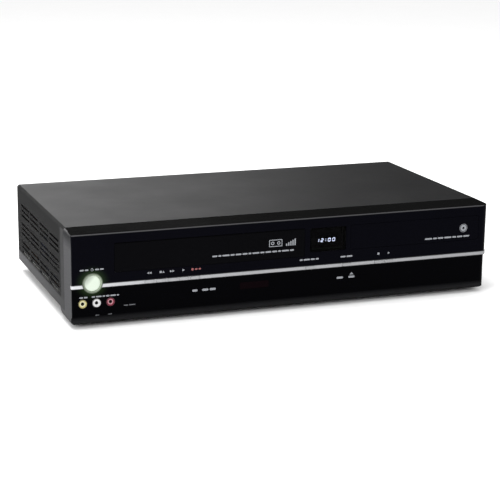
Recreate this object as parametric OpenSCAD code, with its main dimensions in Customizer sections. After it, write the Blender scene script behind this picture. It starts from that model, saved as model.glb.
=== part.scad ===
// Combined disc and cassette player, built as separate pieces.
// X runs from left to right, Y from front to back, Z up from the surface the feet stand on.

/* [Cabinet] */
// Width over the cabinet sides
body_w = 435; // [430:1:450]
// Height from the surface to the top of the cover
body_h = 93; // [92:1:98]
// Depth from the front face to the back of the cover
body_d = 234; // [232:1:245]
// Height of the cabinet's underside above the surface
foot_h = 12; // [11.5:0.5:12.5]
// Thickness of the sheet steel
sheet_t = 1; // [0.8:0.1:1.2]
// Outside bend radius along the cover's upper edges
bend_r = 3; // [2:0.5:4]
// Width of the folded rim round the back of the cover
rim_w = 9; // [8:1:11]

/* [Front bezel] */
// Depth of the bezel from the face to the cover
bezel_d = 28; // [27:1:30]
// Wall thickness of the moulding
bezel_wall = 2.4; // [2:0.1:2.8]
// Fall of the top band from the cover to the face
top_drop = 1.5; // [1:0.1:2.5]
// Setback of the lower face behind the upper one
lower_inset = 1; // [0.6:0.1:1.3]
// Corner radius at the right end, seen from above
right_r = 8; // [6:0.5:10]
// Corner radius at the left end, seen from above
left_r = 1.5; // [1:0.5:3]
// Height of the bezel's lowest edge above the surface
plinth_z = 2.5; // [2:0.5:4]
// Distance from the face to the back of the plinth
plinth_d = 46; // [42:1:50]
// Width of the ledge over the lower lip
lip_ledge = 1.4; // [1:0.1:2]
// Corner radius of the plinth's ends, seen from the front
plinth_r = 7; // [5:0.5:8]

/* [Trim strip] */
// Height of the strip's centre line
strip_z = 41.8; // [41:0.1:43]
// Height of the strip
strip_h = 4.4; // [4.2:0.1:5]
// Distance the strip stands out from the upper face
strip_proud = 0.6; // [0.4:0.1:0.9]

/* [Cassette door] */
// Distance from the left end to the middle of the door
door_in = 137.5; // [134:0.5:142]
// Width of the door opening
door_w = 192; // [191:0.5:193]
// Height of the door opening
door_h = 28.4; // [28:0.2:29]
// Height of the door opening's lower edge
door_z = 53.2; // [52.8:0.1:54]
// Thickness of the door
door_t = 2.2; // [1.8:0.1:2.6]
// Radius of the door's hinge pins
door_pin_r = 1.2; // [1:0.1:1.4]

/* [Disc tray] */
// Distance from the right end to the middle of the tray
tray_in = 82; // [80:0.5:84]
// Width of the tray's front plate
tray_w = 142; // [140:0.5:144]
// Height of the tray's front plate
tray_h = 25; // [24:0.2:26]
// Height of the tray front's lower edge
tray_z = 56.5; // [56:0.1:57]
// Diameter of a disc
disc_d = 120; // [118:1:120]
// Distance the tray slides out
tray_travel = 138; // [130:1:140]
// Thickness of the tray's plate
tray_t = 5; // [4.5:0.1:5.4]

/* [Display] */
// Distance from the tray opening to the middle of the display window
display_gap = 24; // [23:0.5:25]
// Width of the display window
display_w = 38; // [34:0.5:40]
// Height of the display window
display_h = 24; // [22:0.5:25]
// Width of the remote sensor window
remote_w = 30; // [20:1:40]
// Height of the remote sensor window
remote_h = 7; // [5:0.5:9]

/* [Controls] */
// Distance from the left end to the power button
power_in = 20.2; // [18:0.1:24]
// Height of the power button's centre
power_z = 44.7; // [44:0.1:45.5]
// Radius of the light ring round the power button
power_r = 9.85; // [9:0.05:10.5]
// Distance the power button stands out from the face
power_proud = 1.5; // [1:0.1:2]
// Travel of the power button
power_travel = 1.2; // [0.8:0.1:1.5]
// Length of a key
key_w = 9.2; // [8:0.1:9.6]
// Height of a key
key_h = 2.9; // [2.6:0.1:3.2]
// Distance between two keys
key_pitch = 11.3; // [11:0.1:12]
// Travel of a key
key_travel = 0.8; // [0.5:0.1:1]

/* [Front jacks] */
// Distance from the left end to the first jack
jack_in = 10.8; // [10.5:0.1:12]
// Distance between two jacks
jack_pitch = 13.4; // [12.5:0.1:14]
// Height of the jacks' centres
jack_z = 25.1; // [24:0.1:27]
// Outside radius of a jack's barrel
jack_r = 4.15; // [4.1:0.05:4.2]
// Radius of a jack's centre contact
jack_bore = 1.65; // [1.6:0.05:1.7]

/* [Louvres] */
// Length of a louvre row
louvre_l = 172; // [150:1:176]
// Height of a louvre slot
louvre_h = 2.4; // [1.8:0.1:2.8]
// Distance between two rows of a group
louvre_pitch = 5.2; // [4.8:0.1:5.6]
// Distance between two groups
louvre_group = 19.8; // [18:0.1:20]
// Height of the lowest row
louvre_z = 24.9; // [23:0.1:26]
// Distance from the face to the front of the rows
louvre_in = 46; // [44:1:50]

/* [Tape deck] */
// Height of the deck's base plate
deck_z = 28; // [28:0.2:28.6]
// Diameter of the head drum
drum_d = 62; // [60:0.5:62]
// Tilt of the head drum
drum_tilt = 6; // [4:0.1:6.5]
// Distance between the reel spindles
reel_pitch = 92; // [90:1:94]
// Travel of the cassette holder towards the back
load_back = 65; // [55:1:66]
// Travel of the cassette holder downwards
load_down = 20; // [15:0.5:20]
// Travel of the tape guide posts
post_travel = 58; // [45:1:60]

/* [Rear] */
// Distance the rear connectors stand out from the cover's back
conn_out = 8.5; // [7:0.5:10]
// Radius of an aerial connector
aerial_r = 4.75; // [4.7:0.05:4.8]

/* [Fits] */
// Gap round pieces that move past each other
gap = 0.3; // [0.25:0.05:0.4]
// Radial running clearance of a shaft
run_fit = 0.05; // [0.03:0.01:0.08]
// Width of the seam between bezel and cover
seam = 0.4; // [0.3:0.1:0.6]

/* [Hidden] */
$fn = 48;
eps = 0.01;
left_x = -body_w / 2;
right_x = body_w / 2;
face_y = (power_proud - body_d - conn_out) / 2;
lower_y = face_y + lower_inset;
seam_y = face_y + bezel_d;
back_y = face_y + body_d;
panel_y = back_y - sheet_t;
inner_y = panel_y - sheet_t;
base_z = foot_h;
floor_z = base_z + sheet_t;
roof_z = body_h - sheet_t;
inner_x = right_x - sheet_t - gap;
strip_lo = strip_z - strip_h / 2;
strip_hi = strip_z + strip_h / 2;
face_top = body_h - top_drop;
top_edge = 1.2;

door_x = left_x + door_in;
door_top = door_z + door_h;
hinge_y = face_y + 2.9;
hinge_z = door_top - 1.7;
tray_x = right_x - tray_in;
tray_left = tray_x - tray_w / 2;
display_x = tray_left - display_gap;
display_z = tray_z + tray_h / 2;
remote_x = left_x + 181.5;
remote_z = 29;
power_x = left_x + power_in;
key_y = face_y - strip_proud - 0.4;
key_board_y = face_y + 12;
board_t = 1.6;
tape_key_x = left_x + 75.4;
select_key_x = display_x - 19.2;
eject_key_x = tray_left - 4;
disc_key_x = tray_left + 30.7;
jack_x = left_x + jack_in;
jack_y = lower_y - 0.7;

deck_t = 1.6;
deck_top = deck_z + deck_t;
deck_left = door_x - 100;
deck_right = door_x + 100;
deck_front = face_y + 32.5;
deck_back = face_y + 220;
holder_y = deck_front;
holder_d = 36;
holder_t = 0.9;
holder_w = door_w - 1;
holder_top = door_top - 0.3;
slider_t = 1.4;
slider_x = holder_w / 2 + gap;
rail_x = slider_x + slider_t + gap;
drum_y = face_y + 174.5;
drum_x = door_x;
drum_low_h = 13;
drum_up_h = 12;
drum_z = deck_top + 4.4;
shaft_r = 2.5;
reel_y = face_y + 68.5;
reel_r = 18;
spindle_r = 1.5;
capstan_x = door_x + 62;
capstan_y = face_y + 154.5;
pinch_pivot_x = door_x + 88;
pinch_pivot_y = face_y + 160.5;
pinch_r = 5.5;
pinch_arm_l = 29;
pinch_rest = 232;
cam_x = door_x - 72;
cam_y = face_y + 188;
cam_r = 17;
post_x0 = 27;
post_y = face_y + 122.5;
post_lean = 15.8;

loader_w = 147;
loader_front = face_y + 14;
loader_z = 50;
tray_plate_z = 66.6;
tray_plate_w = 133;
tray_front_y = face_y + 2.6;
disc_y = face_y + 74.5;
tray_plate_back = disc_y + disc_d / 2 + 13;
tray_rail_back = tray_front_y + tray_travel + 39.4;
loader_back = tray_rail_back + 22;
recess_depth = 2;
rail_w = 6;
pivot_y = face_y + 171;
pivot_z = 57;
traverse_w = 74;
turntable_r = 14;
puck_r = 16;
gear_r = 10;
gear_x = tray_x - tray_plate_w / 2 + 18;
gear_y = loader_front + 16;

board_z = floor_z + 7;
socket_z = 30;
socket_x = tray_x - 32;
tuner_x = right_x - 30;

// ---------- helpers ----------

// A block between two opposite corners.
module block(low, high) {
  translate(low) cube(high - low);
}

// A profile in (Y, Z) carried from x0 to x1.
module along_x(x0, x1) {
  translate([x0, 0, 0]) rotate([90, 0, 90]) linear_extrude(x1 - x0) children();
}

// A profile in (X, Z) carried from y0 to y1.
module along_y(y0, y1) {
  translate([0, y1, 0]) rotate([90, 0, 0]) linear_extrude(y1 - y0) children();
}

// A profile in (X, Y) carried from z0 to z1.
module along_z(z0, z1) {
  translate([0, 0, z0]) linear_extrude(z1 - z0) children();
}

// A round bar along Y.
module rod_y(x, z, r, y0, y1) {
  translate([x, y0, z]) rotate([-90, 0, 0]) cylinder(r = r, h = y1 - y0);
}

// A round bar along X.
module rod_x(y, z, r, x0, x1) {
  translate([x0, y, z]) rotate([0, 90, 0]) cylinder(r = r, h = x1 - x0);
}

// A round post along Z.
module post(x, y, r, z0, z1) {
  translate([x, y, z0]) cylinder(r = r, h = z1 - z0);
}

// A rectangle about a centre.
module rect(x, y, w, h) {
  translate([x - w / 2, y - h / 2]) square([w, h]);
}

// A rectangle with round corners about a centre.
module round_rect(x, y, w, h, r) {
  rect(x, y, w - 2 * r, h);
  rect(x, y, w, h - 2 * r);
  for (sx = [-1, 1], sy = [-1, 1])
    translate([x + sx * (w / 2 - r), y + sy * (h / 2 - r)]) circle(r);
}

// A bar with half-round ends about a centre.
module pill(x, y, w, h) {
  rect(x, y, w - h, h);
  for (s = [-1, 1]) translate([x + s * (w - h) / 2, y]) circle(h / 2);
}

// An arch whose two upper corners are round.
module arch(w, z0, z1, r) {
  translate([-w / 2, z0]) square([w, z1 - z0 - r]);
  translate([r - w / 2, z0]) square([w - 2 * r, z1 - z0]);
  for (s = [-1, 1]) translate([s * (w / 2 - r), z1 - r]) circle(r);
}

// The toothed outline of a gear.
module gear2d(teeth, r, depth) {
  step = 360 / teeth;
  polygon([for (i = [0 : teeth - 1], k = [0 : 3])
    let (a = (i + [0.05, 0.3, 0.55, 0.8][k]) * step, q = (k == 1 || k == 2) ? r : r - depth)
    [q * cos(a), q * sin(a)]]);
}

// ---------- cabinet ----------

screw_z = body_h - rim_w / 2 - 0.5;
side_screw_x = right_x - rim_w / 2 - 0.5;
screw_spots = [
  [-150, screw_z], [0, screw_z], [150, screw_z],
  [-side_screw_x, base_z + 22], [side_screw_x, base_z + 22]
];
screw_r = 1.5;
foot_r = 17;
foot_x = right_x - 47.5;
foot_ys = [face_y + plinth_d + foot_r + 2, back_y - 30];
louvre_parts = 4;
louvre_bridge = 4;

module top_cover() {
  color("dimgray") difference() {
    union() {
      along_y(seam_y + seam, back_y) difference() {
        arch(body_w, base_z, body_h, bend_r);
        arch(body_w - 2 * sheet_t, base_z - 1, roof_z, bend_r - sheet_t);
      }
      along_y(panel_y, back_y) difference() {
        arch(body_w, base_z, body_h, bend_r);
        arch(body_w - 2 * rim_w, base_z - 1, body_h - rim_w, bend_r);
      }
    }
    along_x(left_x - 1, right_x + 1) louvres();
    for (s = screw_spots) rod_y(s[0], s[1], screw_r + run_fit, panel_y - 1, back_y + 1);
  }
}

// Three groups of three rows, each row cut as a line of short slots.
module louvres() {
  part_l = louvre_l / louvre_parts;
  for (g = [0 : 2], row = [0 : 2], k = [0 : louvre_parts - 1])
    pill(face_y + louvre_in + (k + 0.5) * part_l, louvre_z + g * louvre_group + row * louvre_pitch,
      part_l - louvre_bridge, louvre_h);
}

module bottom_chassis() {
  bezel_x = right_x - bezel_wall - gap;
  flange_h = 13;
  front = face_y + bezel_wall + lower_inset + 4;
  color("silver") difference() {
    union() {
      block([-inner_x, seam_y + seam, base_z], [inner_x, panel_y, floor_z]);
      block([-bezel_x, front, base_z], [bezel_x, seam_y + seam, floor_z]);
      for (x = [-inner_x, inner_x - sheet_t])
        block([x, seam_y + 2, floor_z - eps], [x + sheet_t, inner_y - gap, floor_z + flange_h]);
      for (p = deck_posts) post(p[0], p[1], 4, floor_z - eps, deck_z);
      for (p = loader_posts) post(p[0], p[1], 4, floor_z - eps, loader_z);
      for (p = board_posts) post(p[0], p[1], 3, floor_z - eps, board_z);
      for (p = supply_posts) post(p[0], p[1], 2.5, floor_z - eps, board_z);
    }
    along_z(base_z - 1, floor_z + 1) floor_vents();
  }
}
deck_posts = [for (x = [-85, 85], y = [45, 206]) [door_x + x, face_y + y]];
loader_posts = [for (x = [-62, 62], y = [30, 190]) [tray_x + x, face_y + y]];
board_left = deck_right + 8;
board_right = right_x - 5;
board_front = face_y + 37;
board_back = inner_y - 2;
board_posts = [for (x = [board_left + 7, board_right - 7], y = [board_front + 7, board_back - 13])
  [x, y]];
panel_flange = 8;
supply_left = left_x + 4;
supply_right = deck_left - 4;
supply_front = face_y + 60;
supply_back = inner_y - panel_flange - 1;
supply_posts = [for (x = [supply_left + 4, supply_right - 4], y = [supply_front + 5, supply_back - 5])
  [x, y]];

module floor_vents() {
  for (k = [0 : 6]) rect(tray_x - 36 + 12 * k, face_y + 125, 4, 50);
  for (k = [0 : 3]) rect((supply_left + supply_right) / 2, face_y + 85 + 30 * k, 12, 4);
  for (k = [0 : 4]) rect(door_x - 24 + 12 * k, face_y + 80, 4, 30);
}

module rear_panel() {
  color("lightgray") difference() {
    union() {
      along_y(inner_y, panel_y) arch(2 * inner_x, floor_z, roof_z - gap, bend_r);
      block([4 - inner_x, inner_y - panel_flange, floor_z], [inner_x - 4, inner_y + eps, floor_z + sheet_t]);
    }
    for (s = screw_spots) rod_y(s[0], s[1], screw_r + run_fit, panel_y - 3, back_y);
    for (p = rear_jacks) rod_y(p[0], p[1], jack_r + 0.5, panel_y - 3, back_y);
    for (z = aerial_zs) rod_y(tuner_x, z, neck_out_r + gap, panel_y - 3, back_y);
    rod_y(gland_x, gland_z, gland_r + gap, panel_y - 3, back_y);
    along_y(panel_y - 3, back_y) for (k = [0 : 13])
      translate([door_x - 52 + 8 * k, 62]) rotate(90) pill(0, 0, 26, 3);
  }
}
rear_jacks = [for (i = [0 : 4], j = [0, 1]) [socket_x - 28 + 14 * i, socket_z + 14 * j]];
aerial_zs = [floor_z + 15, floor_z + 33];
gland_x = left_x + 20;
gland_z = floor_z + 20;
gland_r = 4.5;
neck_out_r = aerial_r + gap;

module feet() {
  color("black") for (x = [-foot_x, foot_x], y = foot_ys)
    translate([x, y, 0]) rotate_extrude()
      polygon([[0, 3], [4, 3], [4, 0], [foot_r - 3, 0], [foot_r - 2, 1], [foot_r, foot_h - 2],
        [foot_r, foot_h], [0, foot_h]]);
}

module case_screws() {
  color("black") for (s = screw_spots) {
    rod_y(s[0], s[1], screw_r, panel_y - 4, back_y + eps);
    difference() {
      translate([s[0], back_y, s[1]]) rotate([-90, 0, 0]) rotate_extrude()
        polygon([[0, 0], [3.2, 0], [3.2, 0.5], [2.2, 1.5], [0, 1.8]]);
      for (a = [0, 90]) translate([s[0], back_y + 1.9, s[1]]) rotate([0, a, 0])
        cube([3.4, 1.4, 0.7], center = true);
    }
  }
}

// ---------- front ----------

cavity_y = lower_y + bezel_wall;
plinth_y = face_y + plinth_d;
lip_r = base_z - plinth_z;
lip_y = lower_y + lip_ledge + lip_r;
strip_seat = lower_inset + 0.6;
pocket_y = face_y + 2.8;
key_xs = [for (k = [0 : 4]) tape_key_x + k * key_pitch];
right_key_xs = [select_key_x, eject_key_x, disc_key_x, disc_key_x + key_pitch];
all_key_xs = concat(key_xs, right_key_xs);
jack_xs = [for (k = [0 : 2]) jack_x + k * jack_pitch];
ring_w = 1.9;
board_boss_xs = [power_x + 16, door_x - 22, door_x + 62, tray_left + 12, tray_x - 25];

// The bezel's outline seen from above, set in from the face and from each end.
module plan(inset, left_inset) {
  x0 = left_x + left_inset;
  x1 = right_x - inset;
  y0 = face_y + inset;
  lr = max(left_r - left_inset, 0.4);
  rr = max(right_r - inset, 0.4);
  translate([x0 + lr, y0]) square([x1 - x0 - lr - rr, plinth_y - y0]);
  translate([x0, y0 + lr]) square([lr + 1, plinth_y - y0 - lr]);
  translate([x1 - rr - 1, y0 + rr]) square([rr + 1, plinth_y - y0 - rr]);
  translate([x0 + lr, y0 + lr]) circle(lr);
  translate([x1 - rr, y0 + rr]) circle(rr);
}

module front_bezel() {
  color("black") difference() {
    union() {
      difference() {
        bezel_shell();
        bezel_cavity();
      }
      hinge_bosses();
      for (x = board_boss_xs) rod_y(x, strip_lo - 3.4, 2.4, cavity_y - eps, key_board_y);
    }
    bezel_openings();
  }
}

module bezel_shell() {
  edge_y = face_y + top_edge;
  edge_z = face_top - top_edge;
  top_slope = atan2(top_drop, bezel_d - top_edge);
  intersection() {
    along_x(left_x, right_x) {
      polygon([
        [seam_y, strip_z - 1], [seam_y, body_h],
        [edge_y - top_edge * sin(top_slope), edge_z + top_edge * cos(top_slope)],
        [edge_y, edge_z], [face_y, edge_z], [face_y, strip_z - 1]]);
      translate([edge_y, edge_z]) circle(top_edge);
    }
    along_z(0, body_h) plan(0, 0);
    along_y(face_y, seam_y) arch(body_w, 0, body_h, bend_r);
  }
  intersection() {
    along_x(left_x, right_x) {
      polygon([
        [seam_y, base_z], [seam_y, strip_z], [lower_y, strip_z], [lower_y, base_z],
        [lip_y, base_z], [lip_y, plinth_z], [plinth_y - 15, plinth_z],
        [plinth_y - 6, plinth_z + 3], [plinth_y, base_z]]);
      translate([lip_y, base_z]) circle(lip_r);
    }
    along_z(0, body_h) plan(lower_inset, 0);
    along_y(face_y, plinth_y) plinth_front();
  }
}

// The front view of the lower half, with its two lower corners round.
module plinth_front() {
  translate([left_x + plinth_r, plinth_z]) square([body_w - 2 * plinth_r, strip_z]);
  translate([left_x, plinth_z + plinth_r]) square([body_w, strip_z]);
  for (s = [-1, 1]) translate([s * (right_x - plinth_r), plinth_z + plinth_r]) circle(plinth_r);
}

module bezel_cavity() {
  intersection() {
    along_x(left_x, right_x) polygon([
      [cavity_y, base_z], [plinth_y + 1, base_z], [plinth_y + 1, body_h - bezel_wall],
      [seam_y, body_h - bezel_wall], [cavity_y, face_top - bezel_wall - 0.4]]);
    along_z(0, body_h) plan(bezel_wall, bezel_wall);
  }
  along_x(left_x + plinth_r + 3, right_x - plinth_r - 3) polygon([
    [lip_y - lip_r + 4.6, base_z + 1], [lip_y + 3, plinth_z + 2], [plinth_y - 17, plinth_z + 2],
    [plinth_y - 7, base_z + 1]]);
  block([left_x - 1, plinth_y - eps, 0], [right_x + 1, plinth_y + 2, body_h]);
}

module hinge_bosses() {
  for (s = [-1, 1]) translate([door_x + s * (door_w / 2 + 2), hinge_y, hinge_z])
    translate([-2, cavity_y - hinge_y - eps, -2.8]) cube([4, hinge_y + 2.6 - cavity_y, 5]);
}

module bezel_openings() {
  along_y(face_y - 1, cavity_y + 1) {
    round_rect(door_x, door_z + door_h / 2, door_w, door_h, 1.5);
    round_rect(tray_x, tray_z + tray_h / 2, tray_w, tray_h, 1.5);
    round_rect(display_x, display_z, display_w - 3, display_h - 3, 1);
    round_rect(remote_x, remote_z, remote_w - 3, remote_h - 3, 1);
  }
  along_y(face_y - 1, face_y + window_t) round_rect(display_x, display_z, display_w, display_h, 1.2);
  along_y(face_y - 1, lower_y + window_t) round_rect(remote_x, remote_z, remote_w, remote_h, 1.2);
  rod_x(hinge_y, hinge_z, door_pin_r + run_fit, door_x - door_w / 2 - 3, door_x + door_w / 2 + 3);
  rod_y(power_x, power_z, power_r + 0.15, face_y - 1, cavity_y + 1);
  for (x = jack_xs) rod_y(x, jack_z, jack_r + 0.5, face_y - 1, cavity_y + 1);
  for (x = all_key_xs) {
    along_y(face_y - 1, pocket_y) pill(x, strip_z, key_w + 2 * gap, key_h + gap);
    along_y(face_y - 1, cavity_y + 1) rect(x, strip_z, 3.6, 2.1);
  }
  along_z(strip_lo - 0.05, strip_hi + 0.05) strip_plan(strip_seat, strip_proud + 1);
}
window_t = 1.4;

// The strip seen from above: a band along the face and round the right corner.
module strip_plan(depth, proud) {
  intersection() {
    difference() {
      plan(-proud, 0);
      plan(depth, 0);
    }
    translate([left_x, face_y - proud - 1]) square([body_w, right_r + proud + 4]);
  }
}

module front_trim_strip() {
  shoulder = 0.55;
  color("gainsboro") difference() {
    union() {
      along_z(strip_lo, strip_hi) strip_plan(strip_seat, strip_proud / 2);
      along_z(strip_lo + shoulder, strip_hi - shoulder) strip_plan(strip_seat, strip_proud);
    }
    rod_y(power_x, power_z, power_r + 0.15, face_y - 2, cavity_y);
    along_y(face_y - 2, cavity_y) for (x = all_key_xs) pill(x, strip_z, key_w + 2 * gap, key_h + gap);
  }
}

module power_light_ring() {
  color("lime") difference() {
    rod_y(power_x, power_z, power_r, face_y - 0.9, cavity_y + 2);
    rod_y(power_x, power_z, power_r - ring_w, face_y - 2, cavity_y + 3);
  }
}

switch_y = key_board_y - 3.6;
module power_button() {
  r = power_r - ring_w - gap;
  color("honeydew") {
    translate([power_x, face_y - power_proud, power_z]) rotate([-90, 0, 0]) rotate_extrude()
      polygon([[0, 0], [r - 1.6, 0.15], [r - 0.5, 0.55], [r, 1.2], [r, 4], [0, 4]]);
    rod_y(power_x, power_z, 2, face_y + 2, switch_y - gap - power_travel);
  }
}

module key_cap(x) {
  color("silver") {
    along_y(key_y, face_y + 1.6) pill(x, strip_z, key_w, key_h);
    along_y(face_y + 1.5, switch_y - gap - key_travel) rect(x, strip_z, 3, 1.5);
  }
}
module key_rewind() { key_cap(key_xs[0]); }
module key_stop() { key_cap(key_xs[1]); }
module key_fast_forward() { key_cap(key_xs[2]); }
module key_play() { key_cap(key_xs[3]); }
module key_record() { key_cap(key_xs[4]); }
module key_output_select() { key_cap(right_key_xs[0]); }
module key_open_close() { key_cap(right_key_xs[1]); }
module key_disc_stop() { key_cap(right_key_xs[2]); }
module key_disc_play() { key_cap(right_key_xs[3]); }

module cassette_door() {
  w = door_w - 2 * gap;
  rib_pitch = w / 7;
  front = face_y + 0.15;
  barrel_r = 1.5;
  color("black") {
    along_y(front, front + door_t) round_rect(door_x, door_z + door_h / 2, w, door_h - 2 * gap, 1.2);
    rod_x(hinge_y, hinge_z, barrel_r, door_x - w / 2 + barrel_r, door_x + w / 2 - barrel_r);
    rod_x(hinge_y, hinge_z, door_pin_r, door_x - door_w / 2 - 2.6, door_x + door_w / 2 + 2.6);
    for (k = [-3 : 3]) block([door_x + k * rib_pitch - 0.6, front + door_t - eps, door_z + 2],
      [door_x + k * rib_pitch + 0.6, front + door_t + 1, hinge_z]);
    block([door_x - w / 2 + 3, front + door_t - eps, door_z + 1.2],
      [door_x + w / 2 - 3, front + door_t + 1.2, door_z + 2.4]);
  }
}

module display_window() {
  color("midnightblue") along_y(face_y + 0.05, face_y + window_t)
    round_rect(display_x, display_z, display_w - 0.2, display_h - 0.2, 1.1);
}

module display_tube() {
  half_w = display_w / 2 - 2;
  half_h = display_h / 2 - 3;
  pin_gap = (2 * half_w - 4) / 12;
  color("darkslategray") {
    block([display_x - half_w, key_board_y - 5.5, display_z - half_h],
      [display_x + half_w, key_board_y, display_z + half_h]);
    for (k = [-6 : 6])
      rod_y(display_x + pin_gap * k, display_z - half_h - 1.4, 0.4, key_board_y - 1.5, key_board_y);
    block([display_x - half_w + 1, key_board_y - 1.5, display_z - half_h - 1.9],
      [display_x + half_w - 1, key_board_y, display_z - half_h + 0.1]);
  }
}

module remote_window() {
  color("maroon") along_y(lower_y + 0.05, lower_y + window_t)
    round_rect(remote_x, remote_z, remote_w - 0.2, remote_h - 0.2, 1.1);
}

module jack(x, hue) {
  tube_t = 0.55;
  back = lower_y + 7;
  color(hue) {
    difference() {
      rod_y(x, jack_z, jack_r, jack_y, back);
      rod_y(x, jack_z, jack_r - tube_t, jack_y - 1, back - 1);
    }
    difference() {
      rod_y(x, jack_z, jack_r - tube_t + eps, jack_y + 0.6, back - 0.5);
      rod_y(x, jack_z, jack_bore, jack_y - 1, back - 1);
    }
  }
}
module jack_video() { jack(jack_xs[0], "gold"); }
module jack_audio_left() { jack(jack_xs[1], "white"); }
module jack_audio_right() { jack(jack_xs[2], "red"); }

module front_jack_block() {
  back = lower_y + 7;
  color("black") {
    block([jack_xs[0] - 6.2, back, floor_z], [jack_xs[2] + 6.2, back + 13, jack_z + 6]);
    for (x = jack_xs) block([x - 1.5, back + 12, floor_z], [x + 1.5, back + 16, floor_z + 6]);
  }
}

module key_circuit_board() {
  low = strip_lo - 7;
  color("darkgreen") {
    block([power_x - 12, key_board_y, low], [disc_key_x + 24, key_board_y + board_t, strip_hi + 7]);
    block([display_x - display_w / 2 + 0.5, key_board_y, low],
      [display_x + display_w / 2 - 0.5, key_board_y + board_t, display_z + display_h / 2 - 1]);
    for (x = all_key_xs) tact_switch(x, strip_z);
    tact_switch(power_x, power_z);
    block([remote_x - 4, lower_y + window_t + 3, remote_z - 3],
      [remote_x + 4, key_board_y + eps, remote_z + 5]);
    block([remote_x - 5, key_board_y, remote_z - 4], [remote_x + 5, key_board_y + board_t, low + 1]);
  }
}
module tact_switch(x, z) {
  block([x - 3, switch_y + 0.6, z - 3], [x + 3, key_board_y + eps, z + 3]);
  rod_y(x, z, 1.5, switch_y, switch_y + 1);
}

// ---------- electronics ----------

chip_w = 28;
chip_ts = [2.2, 3.4];
coil_w = 24;
coil_h = 26;
sink_w = 22;

module can(x, y, z, r, h) {
  translate([x, y, z - eps]) rotate_extrude()
    polygon([[0, 0], [r, 0], [r, h - 0.8], [r - 0.7, h], [r - 1.1, h - 0.3], [0, h - 0.3]]);
}

module main_circuit_board() {
  top = board_z + board_t;
  color("darkgreen") difference() {
    union() {
      block([board_left, board_front, board_z], [board_right, board_back, top]);
      for (k = [0 : 1]) block([tray_x - 20 + 44 * k, face_y + 90, top - eps],
        [tray_x - 20 + 44 * k + chip_w, face_y + 90 + chip_w, top + chip_ts[k]]);
      for (k = [0 : 4]) can(board_left + 24 + 13 * k, board_front + 26, top, 4, 11 - k % 2 * 3);
      for (k = [0 : 2]) can(board_right - 30 - 15 * k, board_front + 22, top, 5, 12);
      for (k = [0 : 3]) block([tray_x - 50 + 24 * k, face_y + 140, top - eps],
        [tray_x - 36 + 24 * k, face_y + 146, top + 8]);
      block([board_left + 8, face_y + 150, top - eps], [board_left + 34, face_y + 170, top + 12]);
    }
    for (p = loader_posts) post(p[0], p[1], 4 + gap, board_z - 1, top + 1);
  }
}

module power_supply_board() {
  top = board_z + board_t;
  mid = (supply_left + supply_right) / 2;
  coil_y = supply_front + 44;
  sink_y = coil_y + coil_h + 6;
  color("saddlebrown") {
    block([supply_left, supply_front, board_z], [supply_right, supply_back, top]);
    for (z = [0, coil_h - 4]) block([mid - coil_w / 2, coil_y, top + z - eps],
      [mid + coil_w / 2, coil_y + coil_h, top + z + 4]);
    block([mid - coil_w / 2 + 3, coil_y + 2, top], [mid + coil_w / 2 - 3, coil_y + coil_h - 2, top + coil_h]);
    for (k = [0 : 4]) block([mid - sink_w / 2, sink_y + 2.5 * k, top - eps],
      [mid + sink_w / 2, sink_y + 2.5 * k + 1.2, top + sink_w]);
    block([mid - sink_w / 2, sink_y, top - eps], [mid + sink_w / 2, sink_y + 11, top + 3]);
    can(mid, supply_front + 98, top, 11, 32);
    for (k = [-1 : 1]) can(mid - 7 + 14 * abs(k), supply_front + 25 + 11 * k, top, 5, 20);
    can(mid, supply_front + 120, top, 6, 14);
  }
}

module tuner_module() {
  front = inner_y - 36;
  nut_y = back_y + 1.4;
  top = board_z + board_t;
  color("silver") difference() {
    union() {
      block([tuner_x - 18, front, top], [tuner_x + 18, inner_y, top + 27]);
      for (z = aerial_zs) {
        rod_y(tuner_x, z, neck_out_r, inner_y - eps, nut_y);
        translate([tuner_x, nut_y, z]) rotate([90, 0, 0]) cylinder(r = 6.4, h = 2, $fn = 6);
        rod_y(tuner_x, z, aerial_r - 0.6, nut_y - eps, nut_y + 1);
        rod_y(tuner_x, z, aerial_r, nut_y + 0.8, back_y + conn_out);
      }
    }
    for (z = aerial_zs) rod_y(tuner_x, z, 3.4, back_y + 2, back_y + conn_out + 1);
    for (x = [-1, 1]) rod_y(tuner_x + 9 * x, top + 20, 1.6, front - 1, front + 2);
  }
  color("silver") for (z = aerial_zs) difference() {
    rod_y(tuner_x, z, 2.4, back_y + 1.9, back_y + conn_out - 0.4);
    rod_y(tuner_x, z, 0.6, back_y + 3, back_y + conn_out);
  }
}

module rear_jack_block() {
  front = board_back - 12;
  top = board_z + board_t;
  tube_t = 0.55;
  color("black") {
    block([socket_x - 36, front, top], [socket_x + 36, inner_y, socket_z + 21]);
    for (p = rear_jacks) {
      difference() {
        rod_y(p[0], p[1], jack_r, inner_y - eps, back_y + conn_out - 2);
        rod_y(p[0], p[1], jack_r - tube_t, back_y, back_y + conn_out);
      }
      difference() {
        rod_y(p[0], p[1], jack_r - tube_t + eps, back_y - eps, back_y + conn_out - 3);
        rod_y(p[0], p[1], jack_bore, back_y - 0.5, back_y + conn_out);
      }
    }
  }
}

module mains_gland() {
  flange = 5 + sheet_t;
  color("black") difference() {
    translate([gland_x, inner_y - 5, gland_z]) rotate([-90, 0, 0]) rotate_extrude()
      polygon([[0, 0], [gland_r + 1.5, 0], [gland_r + 1.5, 5], [gland_r, 5], [gland_r, flange],
        [gland_r + 2, flange], [gland_r + 2, flange + 3], [gland_r - 0.5, flange + 5.5], [0, flange + 5.5]]);
    rod_y(gland_x, gland_z, 3.2, back_y - 2, back_y + 12);
  }
}

// ---------- tape deck ----------

reel_pin_r = 2;
post_r = 5;
post_stem_r = 2.6;
tab_z = holder_top - 3.6;
pin_z = holder_top - 12.3;
slider_pin_r = 1.5;
flywheel_r = 20;

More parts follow.
